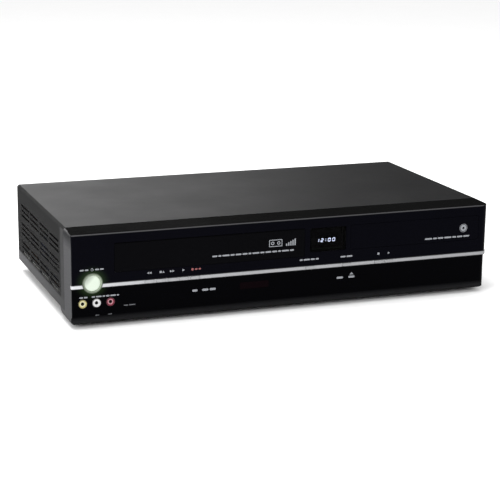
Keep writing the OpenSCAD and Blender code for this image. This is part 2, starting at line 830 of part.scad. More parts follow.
// Places children at a guide post's start, with local X along its path; s is -1 left, 1 right.
module on_post_path(s) {
  translate([door_x + s * post_x0, post_y, 0]) rotate(90 - s * post_lean) children();
}

module on_drum_axis() {
  translate([drum_x, drum_y, drum_z]) rotate([drum_tilt, 0, 0]) children();
}

module deck_base() {
  color("lightsteelblue") difference() {
    union() {
      block([deck_left, deck_front, deck_z], [deck_right, deck_back, deck_top]);
      block([deck_left, deck_front, deck_z - 5], [deck_right, deck_front + deck_t, deck_z + eps]);
      block([deck_left, deck_back - deck_t, deck_z - 5], [deck_right, deck_back, deck_z + eps]);
      for (s = [-1, 1]) post(door_x + s * reel_pitch / 2, reel_y, reel_pin_r, deck_z, deck_top + 12);
      post(capstan_x, capstan_y, 2.8, deck_z, deck_top + 3);
      post(pinch_pivot_x, pinch_pivot_y, reel_pin_r, deck_z, deck_top + 18);
      post(cam_x, cam_y, 3, deck_z, deck_top + 7);
    }
    for (s = [-1, 1]) along_z(deck_z - 1, deck_top + 1) on_post_path(s)
      pill(post_travel / 2, 0, post_travel + 2 * post_stem_r + 0.8, 2 * post_stem_r + 0.8);
    post(capstan_x, capstan_y, spindle_r + run_fit, deck_z - 1, deck_top + 4);
    along_z(deck_z - 1, deck_top + 1) {
      round_rect(door_x, reel_y + 4, 34, 44, 4);
      for (s = [-1, 1]) round_rect(door_x + s * 83, face_y + 112, 12, 60, 3);
    }
  }
}

module deck_side_rails() {
  rail_y0 = holder_y;
  rail_y1 = holder_y + holder_d + load_back + 6;
  color("slategray") for (s = [-1, 1]) {
    x = s > 0 ? door_x + rail_x : door_x - rail_x - slider_t;
    along_x(x, x + slider_t) difference() {
      union() {
        translate([rail_y0, deck_top]) square([rail_y1 - rail_y0, holder_top + 1.2 - deck_top]);
        translate([rail_y1 - eps, deck_top]) square([24, 16]);
      }
      pill((holder_y + 6 + holder_y + 26 + load_back) / 2, tab_z, 20 + load_back + 4, 3.6);
      for (k = [0 : 2]) round_rect(rail_y0 + 22 + 32 * k, deck_top + 21, 20, 22, 3);
    }
  }
}

module lower_drum() {
  color("silver") difference() {
    union() {
      post(drum_x, drum_y, drum_d / 2 - 9, deck_top, drum_z + 4);
      on_drum_axis() rotate_extrude() polygon([[0, 0], [drum_d / 2 - 1, 0], [drum_d / 2, 1],
        [drum_d / 2, drum_low_h - 1], [drum_d / 2 - 0.5, drum_low_h], [0, drum_low_h]]);
    }
    on_drum_axis() translate([0, 0, 2]) cylinder(r = shaft_r + run_fit, h = drum_low_h);
  }
}

module upper_drum() {
  low = drum_low_h + gap;
  top = low + drum_up_h;
  color("gainsboro") on_drum_axis() difference() {
    union() {
      translate([0, 0, 3]) cylinder(r = shaft_r, h = drum_low_h);
      translate([0, 0, low]) rotate_extrude() polygon([[0, 0], [drum_d / 2 - 0.5, 0], [drum_d / 2, 0.5],
        [drum_d / 2, drum_up_h - 0.6], [drum_d / 2 - 0.6, drum_up_h], [22, drum_up_h], [21, drum_up_h - 4],
        [9, drum_up_h - 4], [8, drum_up_h - 1], [0, drum_up_h - 1]]);
    }
    for (a = [0 : 90 : 270]) rotate(a) translate([drum_d / 2 - 2, -1.5, low - 1]) cube([4, 3, 3]);
    for (a = [45 : 90 : 315]) rotate(a) translate([15, 0, top - 8]) cylinder(r = 2.2, h = 6);
  }
}

module tape_heads() {
  z0 = deck_top;
  color("silver") {
    block([door_x - 66, face_y + 140, z0], [door_x - 57, face_y + 149, z0 + 2]);
    block([door_x - 65, face_y + 141, z0], [door_x - 58, face_y + 148, z0 + 24]);
    block([door_x + 45, face_y + 138.5, z0], [door_x + 53, face_y + 147, z0 + 2]);
    block([door_x + 47, face_y + 139, z0], [door_x + 53, face_y + 146, z0 + 25]);
  }
}

module capstan_flywheel() {
  low = floor_z + 4;
  color("gold") translate([capstan_x, capstan_y, 0]) {
    translate([0, 0, low]) cylinder(r = spindle_r, h = deck_top + 27 - low);
    translate([0, 0, low]) rotate_extrude() polygon([[0, 0], [flywheel_r - 1, 0], [flywheel_r, 1],
      [flywheel_r, 3], [flywheel_r - 1.5, 4.4], [flywheel_r, 5.8], [flywheel_r, 7.5], [flywheel_r - 3, 7.5],
      [flywheel_r - 3, 4], [6, 4], [5, 8.5], [0, 8.5]]);
  }
}

module pinch_arm() {
  z0 = deck_top + gap;
  color("silver") translate([pinch_pivot_x, pinch_pivot_y, z0]) difference() {
    union() {
      cylinder(r = 4, h = 16);
      rotate(pinch_rest) {
        linear_extrude(2.4) pill(pinch_arm_l / 2, 0, pinch_arm_l + 6.6, 6.6);
        translate([pinch_arm_l, 0, 0]) cylinder(r = spindle_r, h = 24);
      }
    }
    translate([0, 0, -1]) cylinder(r = reel_pin_r + run_fit, h = 20);
  }
}

module pinch_roller() {
  z0 = deck_top + gap + 2.4 + gap;
  color("black") translate([pinch_pivot_x, pinch_pivot_y, z0]) rotate(pinch_rest)
    translate([pinch_arm_l, 0, 0]) difference() {
      rotate_extrude()
        polygon([[0, 0], [3, 0], [3, 1], [pinch_r, 1], [pinch_r, 17], [3, 17], [3, 18], [0, 18]]);
      translate([0, 0, -1]) cylinder(r = spindle_r + run_fit, h = 20);
    }
}

module reel(s) {
  z0 = deck_top + gap;
  color("white") translate([door_x + s * reel_pitch / 2, reel_y, z0]) difference() {
    union() {
      linear_extrude(2.2) gear2d(48, reel_r, 1.2);
      cylinder(r = reel_r - 2, h = 3.4);
      translate([0, 0, 3]) rotate_extrude() polygon([[0, 0], [5.2, 0], [5.2, 13], [3, 17], [0, 17]]);
      for (a = [0 : 60 : 300]) rotate(a) translate([0, -0.8, 3]) cube([7.2, 1.6, 9]);
    }
    translate([0, 0, -1]) cylinder(r = reel_pin_r + run_fit, h = 13.4);
  }
}
module supply_reel() { reel(-1); }
module takeup_reel() { reel(1); }

module guide_post(s) {
  color("silver") on_post_path(s) {
    translate([0, 0, deck_z - gap - 1.8]) cylinder(r = post_r, h = 1.8);
    translate([0, 0, deck_z - gap - eps]) cylinder(r = post_stem_r, h = deck_t + 2 * gap + 2 * eps);
    translate([0, 0, deck_top + gap]) rotate_extrude()
      polygon([[0, 0], [post_r, 0], [post_r, 3], [2, 3], [2, 4], [4, 4], [4, 5], [3, 5.6],
        [3, 19], [4, 19.6], [4, 20.6], [1.2, 20.6], [1.2, 23], [0, 23]]);
  }
}
module guide_post_left() { guide_post(-1); }
module guide_post_right() { guide_post(1); }

module cam_gear() {
  color("ivory") translate([cam_x, cam_y, deck_top + gap]) difference() {
    union() {
      linear_extrude(3.5) gear2d(36, cam_r, 1.8);
      cylinder(r = cam_r - 3, h = 5.5);
    }
    translate([0, 0, -1]) cylinder(r = 3 + run_fit, h = 8);
    translate([0, 0, 3.6]) linear_extrude(3) difference() {
      translate([1.5, 0]) circle(11);
      translate([1.5, 0]) circle(8.5);
    }
  }
}

module loading_motor() {
  y0 = cam_y + cam_r + 0.6;
  z0 = deck_top;
  color("gray") {
    block([cam_x - 14, y0, z0], [cam_x + 12, y0 + 13, z0 + 17]);
    rod_x(y0 + 6.5, z0 + 8.5, 6.5, cam_x + 12 - eps, cam_x + 34);
    rod_x(y0 + 6.5, z0 + 8.5, 2.2, cam_x + 33, cam_x + 35.5);
  }
}

module carriage_slider() {
  y0 = holder_y + 2;
  y1 = holder_y + 30;
  bar_z = holder_top + gap;
  low = pin_z - load_down - 5;
  color("gray") {
    for (s = [-1, 1]) {
      x = s > 0 ? door_x + slider_x : door_x - slider_x - slider_t;
      along_x(x, x + slider_t) difference() {
        translate([y0, low]) square([y1 - y0, bar_z + 1 - low]);
        translate([holder_y + 16, pin_z - load_down / 2]) rotate(90)
          pill(0, 0, load_down + 2 * slider_pin_r + 2 * gap, 2 * slider_pin_r + 2 * gap);
      }
      for (y = [6, 26]) {
        px = s > 0 ? x + slider_t - eps : x - slider_t;
        rod_x(holder_y + y, tab_z, slider_pin_r, px, px + slider_t + eps);
      }
    }
    block([door_x - slider_x - slider_t, y1 - 7, bar_z], [door_x + slider_x + slider_t, y1, bar_z + 1]);
  }
}

module cassette_holder() {
  x1 = holder_w / 2;
  low = door_z + gap;
  lip = 9;
  color("silver") {
    block([door_x - x1, holder_y, holder_top - holder_t], [door_x + x1, holder_y + holder_d, holder_top]);
    for (s = [-1, 1]) {
      side = s > 0 ? x1 - holder_t : -x1;
      block([door_x + side, holder_y, low], [door_x + side + holder_t, holder_y + holder_d, holder_top]);
      edge = s > 0 ? x1 - lip : -x1;
      block([door_x + edge, holder_y, low], [door_x + edge + lip, holder_y + holder_d, low + holder_t]);
      pin0 = s > 0 ? x1 - eps : -x1 - slider_t - gap;
      rod_x(holder_y + 16, pin_z, slider_pin_r, door_x + pin0, door_x + pin0 + slider_t + gap + eps);
    }
    block([door_x - 12, holder_y + holder_d - holder_t, holder_top - 8],
      [door_x + 12, holder_y + holder_d, holder_top]);
  }
}

// ---------- disc loader ----------

loader_wall = 2.5;
loader_floor = 2;
wall_top = tray_plate_z + tray_t + 4.4;
lower_tilt = 4;
deck_level = 55;
carriage_rod_r = 1.5;
rod_gap = 19;
bridge_t = 2.2;
neck_r = 9;

// Places the traverse's pieces in their lowered rest position.
module lowered() {
  translate([0, pivot_y, pivot_z]) rotate([lower_tilt, 0, 0]) translate([0, -pivot_y, -pivot_z]) children();
}

module loader_frame() {
  half = loader_w / 2;
  in = half - loader_wall;
  floor_top = loader_z + loader_floor;
  color("dimgray") difference() {
    union() {
      block([tray_x - half, loader_front, loader_z], [tray_x + half, loader_back, floor_top]);
      for (s = [-1, 1]) {
        wall_x = tray_x + (s > 0 ? in : -half);
        block([wall_x, loader_front, loader_z], [wall_x + loader_wall, loader_back, wall_top]);
        edge = tray_plate_w / 2 - 1.2;
        ledge = in + eps - edge;
        ledge_x = tray_x + (s > 0 ? edge : -in - eps);
        for (z = [tray_plate_z - gap - 1.8, tray_plate_z + tray_t + gap])
          block([ledge_x, loader_front, z], [ledge_x + ledge, loader_back, z + 1.8]);
        lug_x = s > 0 ? traverse_w / 2 + 1.5 : -traverse_w / 2 - 5;
        block([tray_x + lug_x, pivot_y - 5, loader_z], [tray_x + lug_x + 3.5, pivot_y + 5, pivot_z + 4.6]);
      }
      block([tray_x - half, loader_back - loader_wall, loader_z],
        [tray_x + half, loader_back, tray_plate_z - 1]);
      post(gear_x, gear_y, 4, loader_z, 60);
      post(gear_x, gear_y, 2, loader_z, 65.6);
    }
    block([tray_x - traverse_w / 2 - 1.5, disc_y - 26, loader_z - 1],
      [tray_x + traverse_w / 2 + 1.5, pivot_y + 9, floor_top + 1]);
    rod_x(pivot_y, pivot_z, 2.5 + run_fit, tray_x - in + 1, tray_x + in - 1);
  }
}

module disc_tray() {
  half = tray_plate_w / 2;
  top = tray_plate_z + tray_t;
  slot_r = turntable_r + 4;
  rack_x0 = gear_x - gear_r - gap - 6;
  rack_z = tray_plate_z - 5.4;
  rack_pitch = 2.4;
  color("dimgray") difference() {
    union() {
      block([tray_x - half, tray_front_y, tray_plate_z], [tray_x + half, tray_plate_back, top]);
      for (s = [-1, 1]) {
        x = s > 0 ? half - rail_w : -half;
        block([tray_x + x, tray_front_y, tray_plate_z], [tray_x + x + rail_w, tray_rail_back, top]);
      }
      block([rack_x0, tray_front_y + 4, rack_z], [rack_x0 + 4.2, tray_rail_back, tray_plate_z + eps]);
      for (k = [0 : floor((tray_rail_back - tray_front_y - 8) / rack_pitch)])
        block([rack_x0 + 4, tray_front_y + 6 + rack_pitch * k, rack_z],
          [rack_x0 + 6, tray_front_y + 6 + rack_pitch * (k + 0.5), tray_plate_z + eps]);
    }
    post(tray_x, disc_y, disc_d / 2 + 0.8, top - recess_depth, top + 1);
    post(tray_x, disc_y, 41, top - recess_depth - 1.2, top + 1);
    post(tray_x, disc_y, slot_r, tray_plate_z - 1, top + 1);
    block([tray_x - slot_r, disc_y, tray_plate_z - 1], [tray_x + slot_r, tray_plate_back + 1, top + 1]);
    for (s = [-1, 1]) post(tray_x + s * (disc_d / 2 - 2), disc_y, 9, top - recess_depth - 1.2, top + 1);
  }
}

module tray_front() {
  color("black") along_y(face_y + 0.15, tray_front_y)
    round_rect(tray_x, tray_z + tray_h / 2, tray_w - 2 * gap, tray_h - 2 * gap, 1.2);
}

module tray_gear() {
  color("ivory") translate([gear_x, gear_y, 60 + gap]) difference() {
    linear_extrude(5.6) gear2d(24, gear_r, 1.8);
    translate([0, 0, -1]) cylinder(r = 2 + run_fit, h = 8);
  }
}

module tray_motor() {
  x = tray_x + 46;
  z0 = loader_z + loader_floor;
  color("silver") translate([x, loader_front + 16, z0]) rotate_extrude()
    polygon([[0, 0], [11, 0], [12, 1], [12, 8], [11, 9], [4, 9], [4, 10], [2, 10], [2, 12], [0, 12]]);
}

module traverse_frame() {
  half = traverse_w / 2;
  level = deck_level;
  back = pivot_y + 6;
  front = disc_y - 21;
  color("gray") lowered() difference() {
    union() {
      along_z(level, level + 3.2) difference() {
        round_rect(tray_x, (front + back) / 2, traverse_w, back - front, 5);
        round_rect(tray_x, disc_y + 47, 2 * rod_gap + 10, 68, 3);
      }
      post(tray_x, disc_y, 13, level - 4, level + 4.4);
      rod_x(pivot_y, pivot_z, 2.5, tray_x - half - 5, tray_x + half + 5);
      for (s = [-1, 1]) {
        rod_y(tray_x + s * rod_gap, level + 6, carriage_rod_r, disc_y + 11, disc_y + 84);
        for (y = [disc_y + 9.5, disc_y + 81]) block([tray_x + s * rod_gap - 3, y, level + 3],
          [tray_x + s * rod_gap + 3, y + 4, level + 8.4]);
      }
      block([tray_x - half + 3, back - 12, level + 3], [tray_x - half + 21, back - 2, level + 8]);
    }
    post(tray_x, disc_y, spindle_r + run_fit, level - 2.5, level + 6);
  }
}

module spindle_turntable() {
  level = deck_level + 4.4 + gap;
  color("gray") lowered() translate([tray_x, disc_y, 0]) {
    post(0, 0, spindle_r, deck_level - 2, level + 3);
    translate([0, 0, level]) rotate_extrude() polygon([[0, 0], [6, 0], [6, 8.6], [turntable_r, 8.6],
      [turntable_r, 10.4], [7.3, 10.4], [7.3, 12.2], [6, 13.4], [0, 13.4]]);
  }
}

module laser_pickup() {
  level = deck_level + 3.2;
  y0 = disc_y + 17;
  color("dimgray") lowered() difference() {
    union() {
      block([tray_x - 14, y0, level + 0.6], [tray_x + 14, y0 + 24, level + 7.4]);
      block([tray_x - rod_gap - 2.8, y0 + 3, level + 0.6], [tray_x + rod_gap + 2.8, y0 + 21, level + 5.2]);
      translate([tray_x, y0 + 9, level + 7]) rotate_extrude()
        polygon([[0, 0], [6, 0], [5.4, 2.2], [3.4, 2.2], [3.2, 3], [0, 3.2]]);
    }
    for (s = [-1, 1]) rod_y(tray_x + s * rod_gap, deck_level + 6, carriage_rod_r + run_fit, y0 - 1, y0 + 25);
  }
}

module clamp_bridge() {
  color("silver") along_z(wall_top, wall_top + bridge_t) difference() {
    union() {
      rect(tray_x, disc_y, loader_w, 30);
      round_rect(tray_x, disc_y, 60, 44, 6);
    }
    translate([tray_x, disc_y]) circle(neck_r + gap);
    for (s = [-1, 1]) round_rect(tray_x + s * 48, disc_y, 24, 14, 3);
  }
}

module clamp_puck() {
  low = tray_plate_z + tray_t + 0.8;
  cap = wall_top + bridge_t + gap;
  color("whitesmoke") translate([tray_x, disc_y, 0]) rotate_extrude() polygon([
    [8.4, low], [puck_r, low], [puck_r, wall_top - gap], [neck_r, wall_top - gap],
    [neck_r, cap], [13, cap], [13, cap + 1.5], [0, cap + 1.5], [0, low + 2.6], [8.4, low + 2.6]]);
}

// ---------- pieces ----------
top_cover();
bottom_chassis();
rear_panel();
feet();
case_screws();
front_bezel();
front_trim_strip();
power_light_ring();
power_button();
key_rewind();
key_stop();
key_fast_forward();
key_play();
key_record();
key_output_select();
key_open_close();
key_disc_stop();
key_disc_play();
cassette_door();
display_window();
display_tube();
remote_window();
jack_video();
jack_audio_left();
jack_audio_right();
front_jack_block();
key_circuit_board();
main_circuit_board();
power_supply_board();
tuner_module();
rear_jack_block();
mains_gland();
deck_base();
deck_side_rails();
lower_drum();
upper_drum();
tape_heads();
capstan_flywheel();
pinch_arm();
pinch_roller();
supply_reel();
takeup_reel();
guide_post_left();
guide_post_right();
cam_gear();
loading_motor();
carriage_slider();
cassette_holder();
loader_frame();
disc_tray();
tray_front();
tray_gear();
tray_motor();
traverse_frame();
spindle_turntable();
laser_pickup();
clamp_bridge();
clamp_puck();
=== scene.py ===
"""Looks for a combined disc and cassette player: finishes, printed marks, lit parts and the stage."""

import math

import bmesh
import bpy
from mathutils import Matrix, Vector


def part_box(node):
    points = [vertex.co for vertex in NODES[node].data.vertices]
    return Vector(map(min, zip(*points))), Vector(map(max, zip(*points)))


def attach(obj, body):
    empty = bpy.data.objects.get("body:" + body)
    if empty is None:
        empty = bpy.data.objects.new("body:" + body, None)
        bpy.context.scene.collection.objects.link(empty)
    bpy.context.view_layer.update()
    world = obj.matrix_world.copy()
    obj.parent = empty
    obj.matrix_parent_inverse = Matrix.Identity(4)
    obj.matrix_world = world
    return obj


bl_info = {
    "name": "Disc and cassette player",
    "version": (1, 0, 0),
    "blender": (4, 5, 0),
    "location": "View3D > Sidebar > Player",
    "description": "Finishes and dresses a combined disc and cassette player",
    "category": "Object",
}

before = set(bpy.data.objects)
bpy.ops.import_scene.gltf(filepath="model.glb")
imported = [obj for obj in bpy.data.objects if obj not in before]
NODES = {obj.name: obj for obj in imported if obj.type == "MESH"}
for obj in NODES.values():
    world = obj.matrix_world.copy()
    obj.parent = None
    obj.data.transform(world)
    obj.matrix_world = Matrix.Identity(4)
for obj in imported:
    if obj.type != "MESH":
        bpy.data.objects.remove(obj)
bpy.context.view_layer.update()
MM = 0.001

# Places that the pieces are worked out from.
FACE_LOW, FACE_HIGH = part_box("front_bezel")
COVER_LOW, COVER_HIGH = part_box("top_cover")
DOOR_LOW, DOOR_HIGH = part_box("cassette_door")
TRAY_LOW, TRAY_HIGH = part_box("tray_front")
STRIP_LOW, STRIP_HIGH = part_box("front_trim_strip")
RING_LOW, RING_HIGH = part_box("power_light_ring")
BUTTON_LOW, BUTTON_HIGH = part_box("power_button")
RING_CENTRE = (RING_LOW + RING_HIGH) / 2
RING_RADIUS = (RING_HIGH.x - RING_LOW.x) / 2
BUTTON_CENTRE = (BUTTON_LOW + BUTTON_HIGH) / 2
BUTTON_RADIUS = (BUTTON_HIGH.x - BUTTON_LOW.x) / 2
FACE_Y = FACE_LOW.y
LOWER_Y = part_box("remote_window")[0].y - 0.05 * MM
STRIP_Z = (STRIP_LOW.z + STRIP_HIGH.z) / 2
LIP_Z = COVER_LOW.z - 0.1 * MM
BOARD_THICKNESS = 1.6 * MM
FLOOR_REACH = 6.0
LAMP_AIM = Vector((0, 0, 0.05))
BRIGHT_RIM, BRIGHT_FADE = 0.72, 0.08
PRINT_LIFT = 0.03 * MM
KEYS = ("key_rewind", "key_stop", "key_fast_forward", "key_play", "key_record",
        "key_output_select", "key_open_close", "key_disc_stop", "key_disc_play")
JACKS = ("jack_video", "jack_audio_left", "jack_audio_right")


def middle(node):
    """The middle of a CAD node's box."""
    low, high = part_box(node)
    return (low + high) / 2


# ---- sizes and colours


def colour(name, text, value):
    """A colour that a user may change."""
    return bpy.props.FloatVectorProperty(
        name=name, description=text, subtype="COLOR", size=4, min=0, max=1, default=(*value, 1)
    )


def number(name, text, value, **kind):
    """A plain number, unless its kind is given."""
    return bpy.props.FloatProperty(name=name, description=text, default=value, **kind)


def share(name, text, value):
    """A share from 0 to 1."""
    return number(name, text, value, subtype="FACTOR", min=0, max=1)


def length(name, text, millimetres, low=0):
    """A length, given in millimetres and kept in metres; its lower limit is in metres."""
    return number(name, text, millimetres * MM, subtype="DISTANCE", unit="LENGTH", min=low)


def angle(name, text, degrees):
    """An angle, given in degrees and kept in radians."""
    return number(name, text, math.radians(degrees), subtype="ANGLE", unit="ROTATION")


class PlayerFinish(bpy.types.PropertyGroup):
    """Colours and sheens of the outside, with painted shade, a painted highlight and painted reflections
    among them.
    """

    cover: colour("Cover paint", "Satin paint on the steel cover", (0.010, 0.010, 0.0104))
    cover_rough: share("Cover roughness", "Roughness of the cover's paint", 0.42)
    # Painted shade: the sides are the same paint as the top, darkened down the sides and round the folds.
    cover_side_shade: colour("Cover side", "Paint down the cover's sides", (0.004, 0.004, 0.0042))
    cover_side_rough: share("Cover side roughness", "Roughness of the paint down the sides", 1.0)
    cover_foot: colour("Cover foot", "Paler band along the sides' lower edges", (0.085, 0.085, 0.088))
    # The upper and lower faces are one gloss moulding; the upper face's paler tone is a painted reflection
    # and the lower face's darker tone painted shade.
    face: colour("Face", "Gloss plastic of the upper face", (0.0012, 0.0012, 0.0026))
    lower_face_shade: colour("Lower face", "Gloss plastic of the lower face", (0.0003, 0.0003, 0.0007))
    wing: colour("Wing", "Textured ends of the front moulding", (0.086, 0.086, 0.090))
    # Painted shade: the upper part of the textured ends is darkened.
    wing_top_shade: colour("Wing top", "Darker upper part of the textured ends", (0.022, 0.022, 0.024))
    wing_grain: colour("Wing grain", "Dark grain of the textured ends", (0.025, 0.025, 0.027))
    top_band: colour("Top band", "Gloss band along the front moulding's top", (0.003, 0.003, 0.003))
    # Painted highlight: the rounded edge is the same gloss plastic, made paler.
    edge: colour("Front edge", "Lighter rounded edge over the face", (0.045, 0.045, 0.047))
    # Painted reflection: the lip keeps the face's gloss and is made paler to stand in for the floor it
    # reflects.
    lip_reflection: colour("Lower lip", "Satin lip under the lower face", (0.012, 0.012, 0.013))
    gloss_rough: share("Gloss roughness", "Roughness of the gloss face", 0.08)
    gloss_level: share("Gloss level", "Specular level of the gloss face", 0.07)
    strip: colour("Trim strip", "Silver paint of the strip and keys", (0.43, 0.435, 0.45))
    ring: colour("Ring light", "Light of the ring round the power button", (0.52, 1.0, 0.32))
    door: colour("Cassette door", "Gloss plastic of the cassette door", (0.0014, 0.0014, 0.0019))
    printing: colour("Printing", "Printed marks", (0.24, 0.25, 0.27))
    record: colour("Record mark", "Printed record mark", (0.24, 0.07, 0.07))
    digits: colour("Digits", "Lit digits of the display", (0.82, 0.90, 1.0))


class PlayerMarks(bpy.types.PropertyGroup):
    """Sizes of the printed and lit marks."""

    key_mark: length("Key mark", "Height of the marks over the keys", 2.4)
    key_mark_rise: length("Key mark rise", "Distance of the marks over the strip's centre", 8.2)
    key_mark_drop: length("Key mark drop", "Distance of the marks under the strip's centre", 13.3)
    digit_height: length("Digit height", "Height of a lit digit", 3.6)
    digit_width: length("Digit width", "Width of a lit digit", 3.0)
    digit_pitch: length("Digit pitch", "Distance between two digits", 4.6)
    bar: length("Segment", "Width of a digit's segment", 0.62)


class PlayerCamera(bpy.types.PropertyGroup):
    """Where the camera stands and how it looks."""

    across: length("Across", "Camera position along X", -538.1, low=-10)
    ahead: length("Ahead", "Distance of the camera before the face", 1331.0)
    height: length("Height", "Camera height above the surface", 425.9)
    yaw: angle("Yaw", "Turn of the camera to the right", 20.474)
    pitch: angle("Pitch", "Fall of the camera's line of sight", 14.276)
    roll: angle("Roll", "Roll of the camera", 0.627)
    lens: number("Lens", "Focal length on a 36 mm sensor", 109.77)


class PlayerLight(bpy.types.PropertyGroup):
    """Strength of the studio lights."""

    key: number("Key light", "Power of the overhead light in watts", 34.0)
    fill: number("Fill light", "Power of the left light in watts", 5.0)
    world: number("Surround", "Strength of the white surround", 1.0)
    floor: number("Floor", "Brightness of the floor", 0.90)
    bright: number("Bright side", "Strength of the surround's bright side in reflections", 4.4)
    bright_top: number("Bright side's top", "Sine of the elevation at which the bright side ends", 0.32)
    front: number("Front side", "Strength of the surround's front side in reflections", 0.75)
    dim: number("Dim side", "Strength of the surround's dim side in reflections", 0.02)
    bright_side: bpy.props.FloatVectorProperty(
        name="Bright direction", description="Direction of the bright side", subtype="XYZ",
        default=(-0.33, 0.944, 0.0)
    )


PROPERTY_GROUPS = {
    "player_finish": PlayerFinish,
    "player_marks": PlayerMarks,
    "player_camera": PlayerCamera,
    "player_light": PlayerLight,
}


# ---- shader nodes


def feed(tree, socket, value):
    """Wires an output to a socket or sets the socket's own value; colours are opaque."""
    if isinstance(value, bpy.types.NodeSocket):
        tree.links.new(value, socket)
    elif socket.type == "RGBA":
        socket.default_value = (*value[:3], 1)
    else:
        socket.default_value = value


def add_node(tree, kind, feeds=None, **settings):
    """A shader node with its settings made and its inputs fed, by name or by number."""
    made = tree.nodes.new("ShaderNode" + kind)
    for name, value in settings.items():
        setattr(made, name, value)
    for socket, value in (feeds or {}).items():
        feed(tree, made.inputs[socket], value)
    return made


def math_node(tree, kind, first, *others):
    """Sum, product or maximum of values, taken in order, or a function of one value."""
    if not others:
        return add_node(tree, "Math", {0: first}, operation=kind).outputs[0]
    for other in others:
        first = add_node(tree, "Math", {0: first, 1: other}, operation=kind).outputs[0]
    return first


def noise_node(tree, vector, scale, detail):
    """Cloudy noise round 0.5."""
    feeds = {"Vector": vector, "Scale": scale, "Detail": detail, "Roughness": 0.55}
    return add_node(tree, "TexNoise", feeds).outputs["Fac"]


def span_node(tree, value, low, high, to_low=0.0, to_high=1.0):
    """Takes the values from low to high to those from to_low to to_high, and holds them there."""
    return add_node(tree, "MapRange", dict(enumerate((value, low, high, to_low, to_high)))).outputs[0]


def edge_span(tree, value, edge, start, end, to_start=0.0, to_end=1.0):
    """The same between two distances from an edge, in millimetres."""
    return span_node(tree, value, edge + start * MM, edge + end * MM, to_start, to_end)


def mix_colour(tree, factor, first, second, kind="MIX"):
    """Goes from the first colour to the second as the factor grows."""
    feeds = {0: factor, 6: first, 7: second}
    return add_node(tree, "Mix", feeds, data_type="RGBA", blend_type=kind).outputs[2]


def vector_node(tree, kind, first, second):
    """The outputs of a function of two vectors."""
    return add_node(tree, "VectorMath", {0: first, 1: second}, operation=kind).outputs


def swing_colour(tree, tone, swing, amount):
    """Makes a colour paler and darker with a value that swings round 0."""
    factor = math_node(tree, "ADD", math_node(tree, "MULTIPLY", swing, amount), 1.0)
    return add_node(tree, "VectorMath", {0: tone, "Scale": factor}, operation="SCALE").outputs[0]


def spot(tree):
    """The place on the object, as a vector."""
    return add_node(tree, "TexCoord").outputs["Object"]


def axes(tree, vector):
    """X, Y and Z of a vector."""
    return add_node(tree, "SeparateXYZ", {0: vector}).outputs


def facing_axes(tree):
    """X, Y and Z of the surface's direction."""
    return axes(tree, add_node(tree, "NewGeometry").outputs["True Normal"])


def axis_distance(tree, centre, counted):
    """Distance from a line through centre; counted holds 1 for the axes across the line and 0 along it."""
    flat = vector_node(tree, "MULTIPLY", spot(tree), counted)[0]
    foot = [part * count for part, count in zip(centre, counted)]
    return vector_node(tree, "DISTANCE", flat, foot)["Value"]


# ---- shader node groups

GROUPS = {}
SOCKET_KINDS = {1: "NodeSocketFloat", 3: "NodeSocketVector", 4: "NodeSocketColor"}
PATCH_SCALE, SPECK_SCALE, STAIN_SCALE = 14.0, 900.0, 35.0
DUST_TONE = (0.42, 0.41, 0.39)


def node_group(name, inputs, outputs):
    """A new shared group with its inputs' defaults and its outputs' names, and both sides' sockets."""
    group = bpy.data.node_groups.new(name, "ShaderNodeTree")
    for socket, default in inputs.items():
        size = len(default) if isinstance(default, tuple) else 1
        made = group.interface.new_socket(socket, in_out="INPUT", socket_type=SOCKET_KINDS[size])
        made.default_value = default
    for socket in outputs:
        kind = SOCKET_KINDS[4 if socket == "Color" else 1]
        group.interface.new_socket(socket, in_out="OUTPUT", socket_type=kind)
    GROUPS[name] = group
    return group, group.nodes.new("NodeGroupInput").outputs, group.nodes.new("NodeGroupOutput").inputs


def build_grain_group():
    """Moulded or sprayed grain: fine relief, slow patches of shade and a light bloom of dust."""
    group, given, out = node_group(
        "surface_grain",
        {"Color": (0.5, 0.5, 0.5, 1), "Roughness": 0.4, "Grain Scale": 1500.0, "Patch": 0.15, "Dust": 0.05,
         "Sheen Spread": 0.08},
        ("Color", "Roughness", "Height"),
    )
    place = spot(group)
    patch = noise_node(group, place, PATCH_SCALE, 4.0)
    upwards = axes(group, add_node(group, "NewGeometry").outputs["Normal"])["Z"]
    speckle = span_node(group, noise_node(group, place, SPECK_SCALE, 1.0), 0.56, 0.72)
    dust = math_node(group, "MULTIPLY", speckle, span_node(group, upwards, 0.5, 1.0), given["Dust"])
    tone = swing_colour(group, given["Color"], span_node(group, patch, 0.3, 0.7, -0.5, 0.5), given["Patch"])
    feed(group, out["Color"], mix_colour(group, dust, tone, DUST_TONE))
    spread = math_node(group, "MULTIPLY", span_node(group, patch, 0.3, 0.7, -1.0, 1.0), given["Sheen Spread"])
    feed(group, out["Roughness"], math_node(group, "ADD", given["Roughness"], spread, dust))
    feed(group, out["Height"], noise_node(group, place, given["Grain Scale"], 2.0))


def build_brush_group():
    """Fine lines of rolled or brushed metal, and slow stains."""
    group, given, out = node_group(
        "brushed_lines",
        {"Color": (0.6, 0.6, 0.6, 1), "Roughness": 0.3, "Stretch": (30.0, 900.0, 900.0), "Contrast": 0.2},
        ("Color", "Roughness", "Height"),
    )
    place = spot(group)
    lines = noise_node(group, vector_node(group, "MULTIPLY", place, given["Stretch"])[0], 1.0, 4.0)
    stains = noise_node(group, place, STAIN_SCALE, 3.0)
    swing = math_node(group, "ADD", span_node(group, lines, 0.25, 0.75, -0.6, 0.6),
                      span_node(group, stains, 0.3, 0.7, -0.4, 0.4))
    feed(group, out["Color"], swing_colour(group, given["Color"], swing, given["Contrast"]))
    rough = math_node(group, "ADD", math_node(group, "MULTIPLY", swing, 0.08), given["Roughness"])
    feed(group, out["Roughness"], rough)
    feed(group, out["Height"], lines)


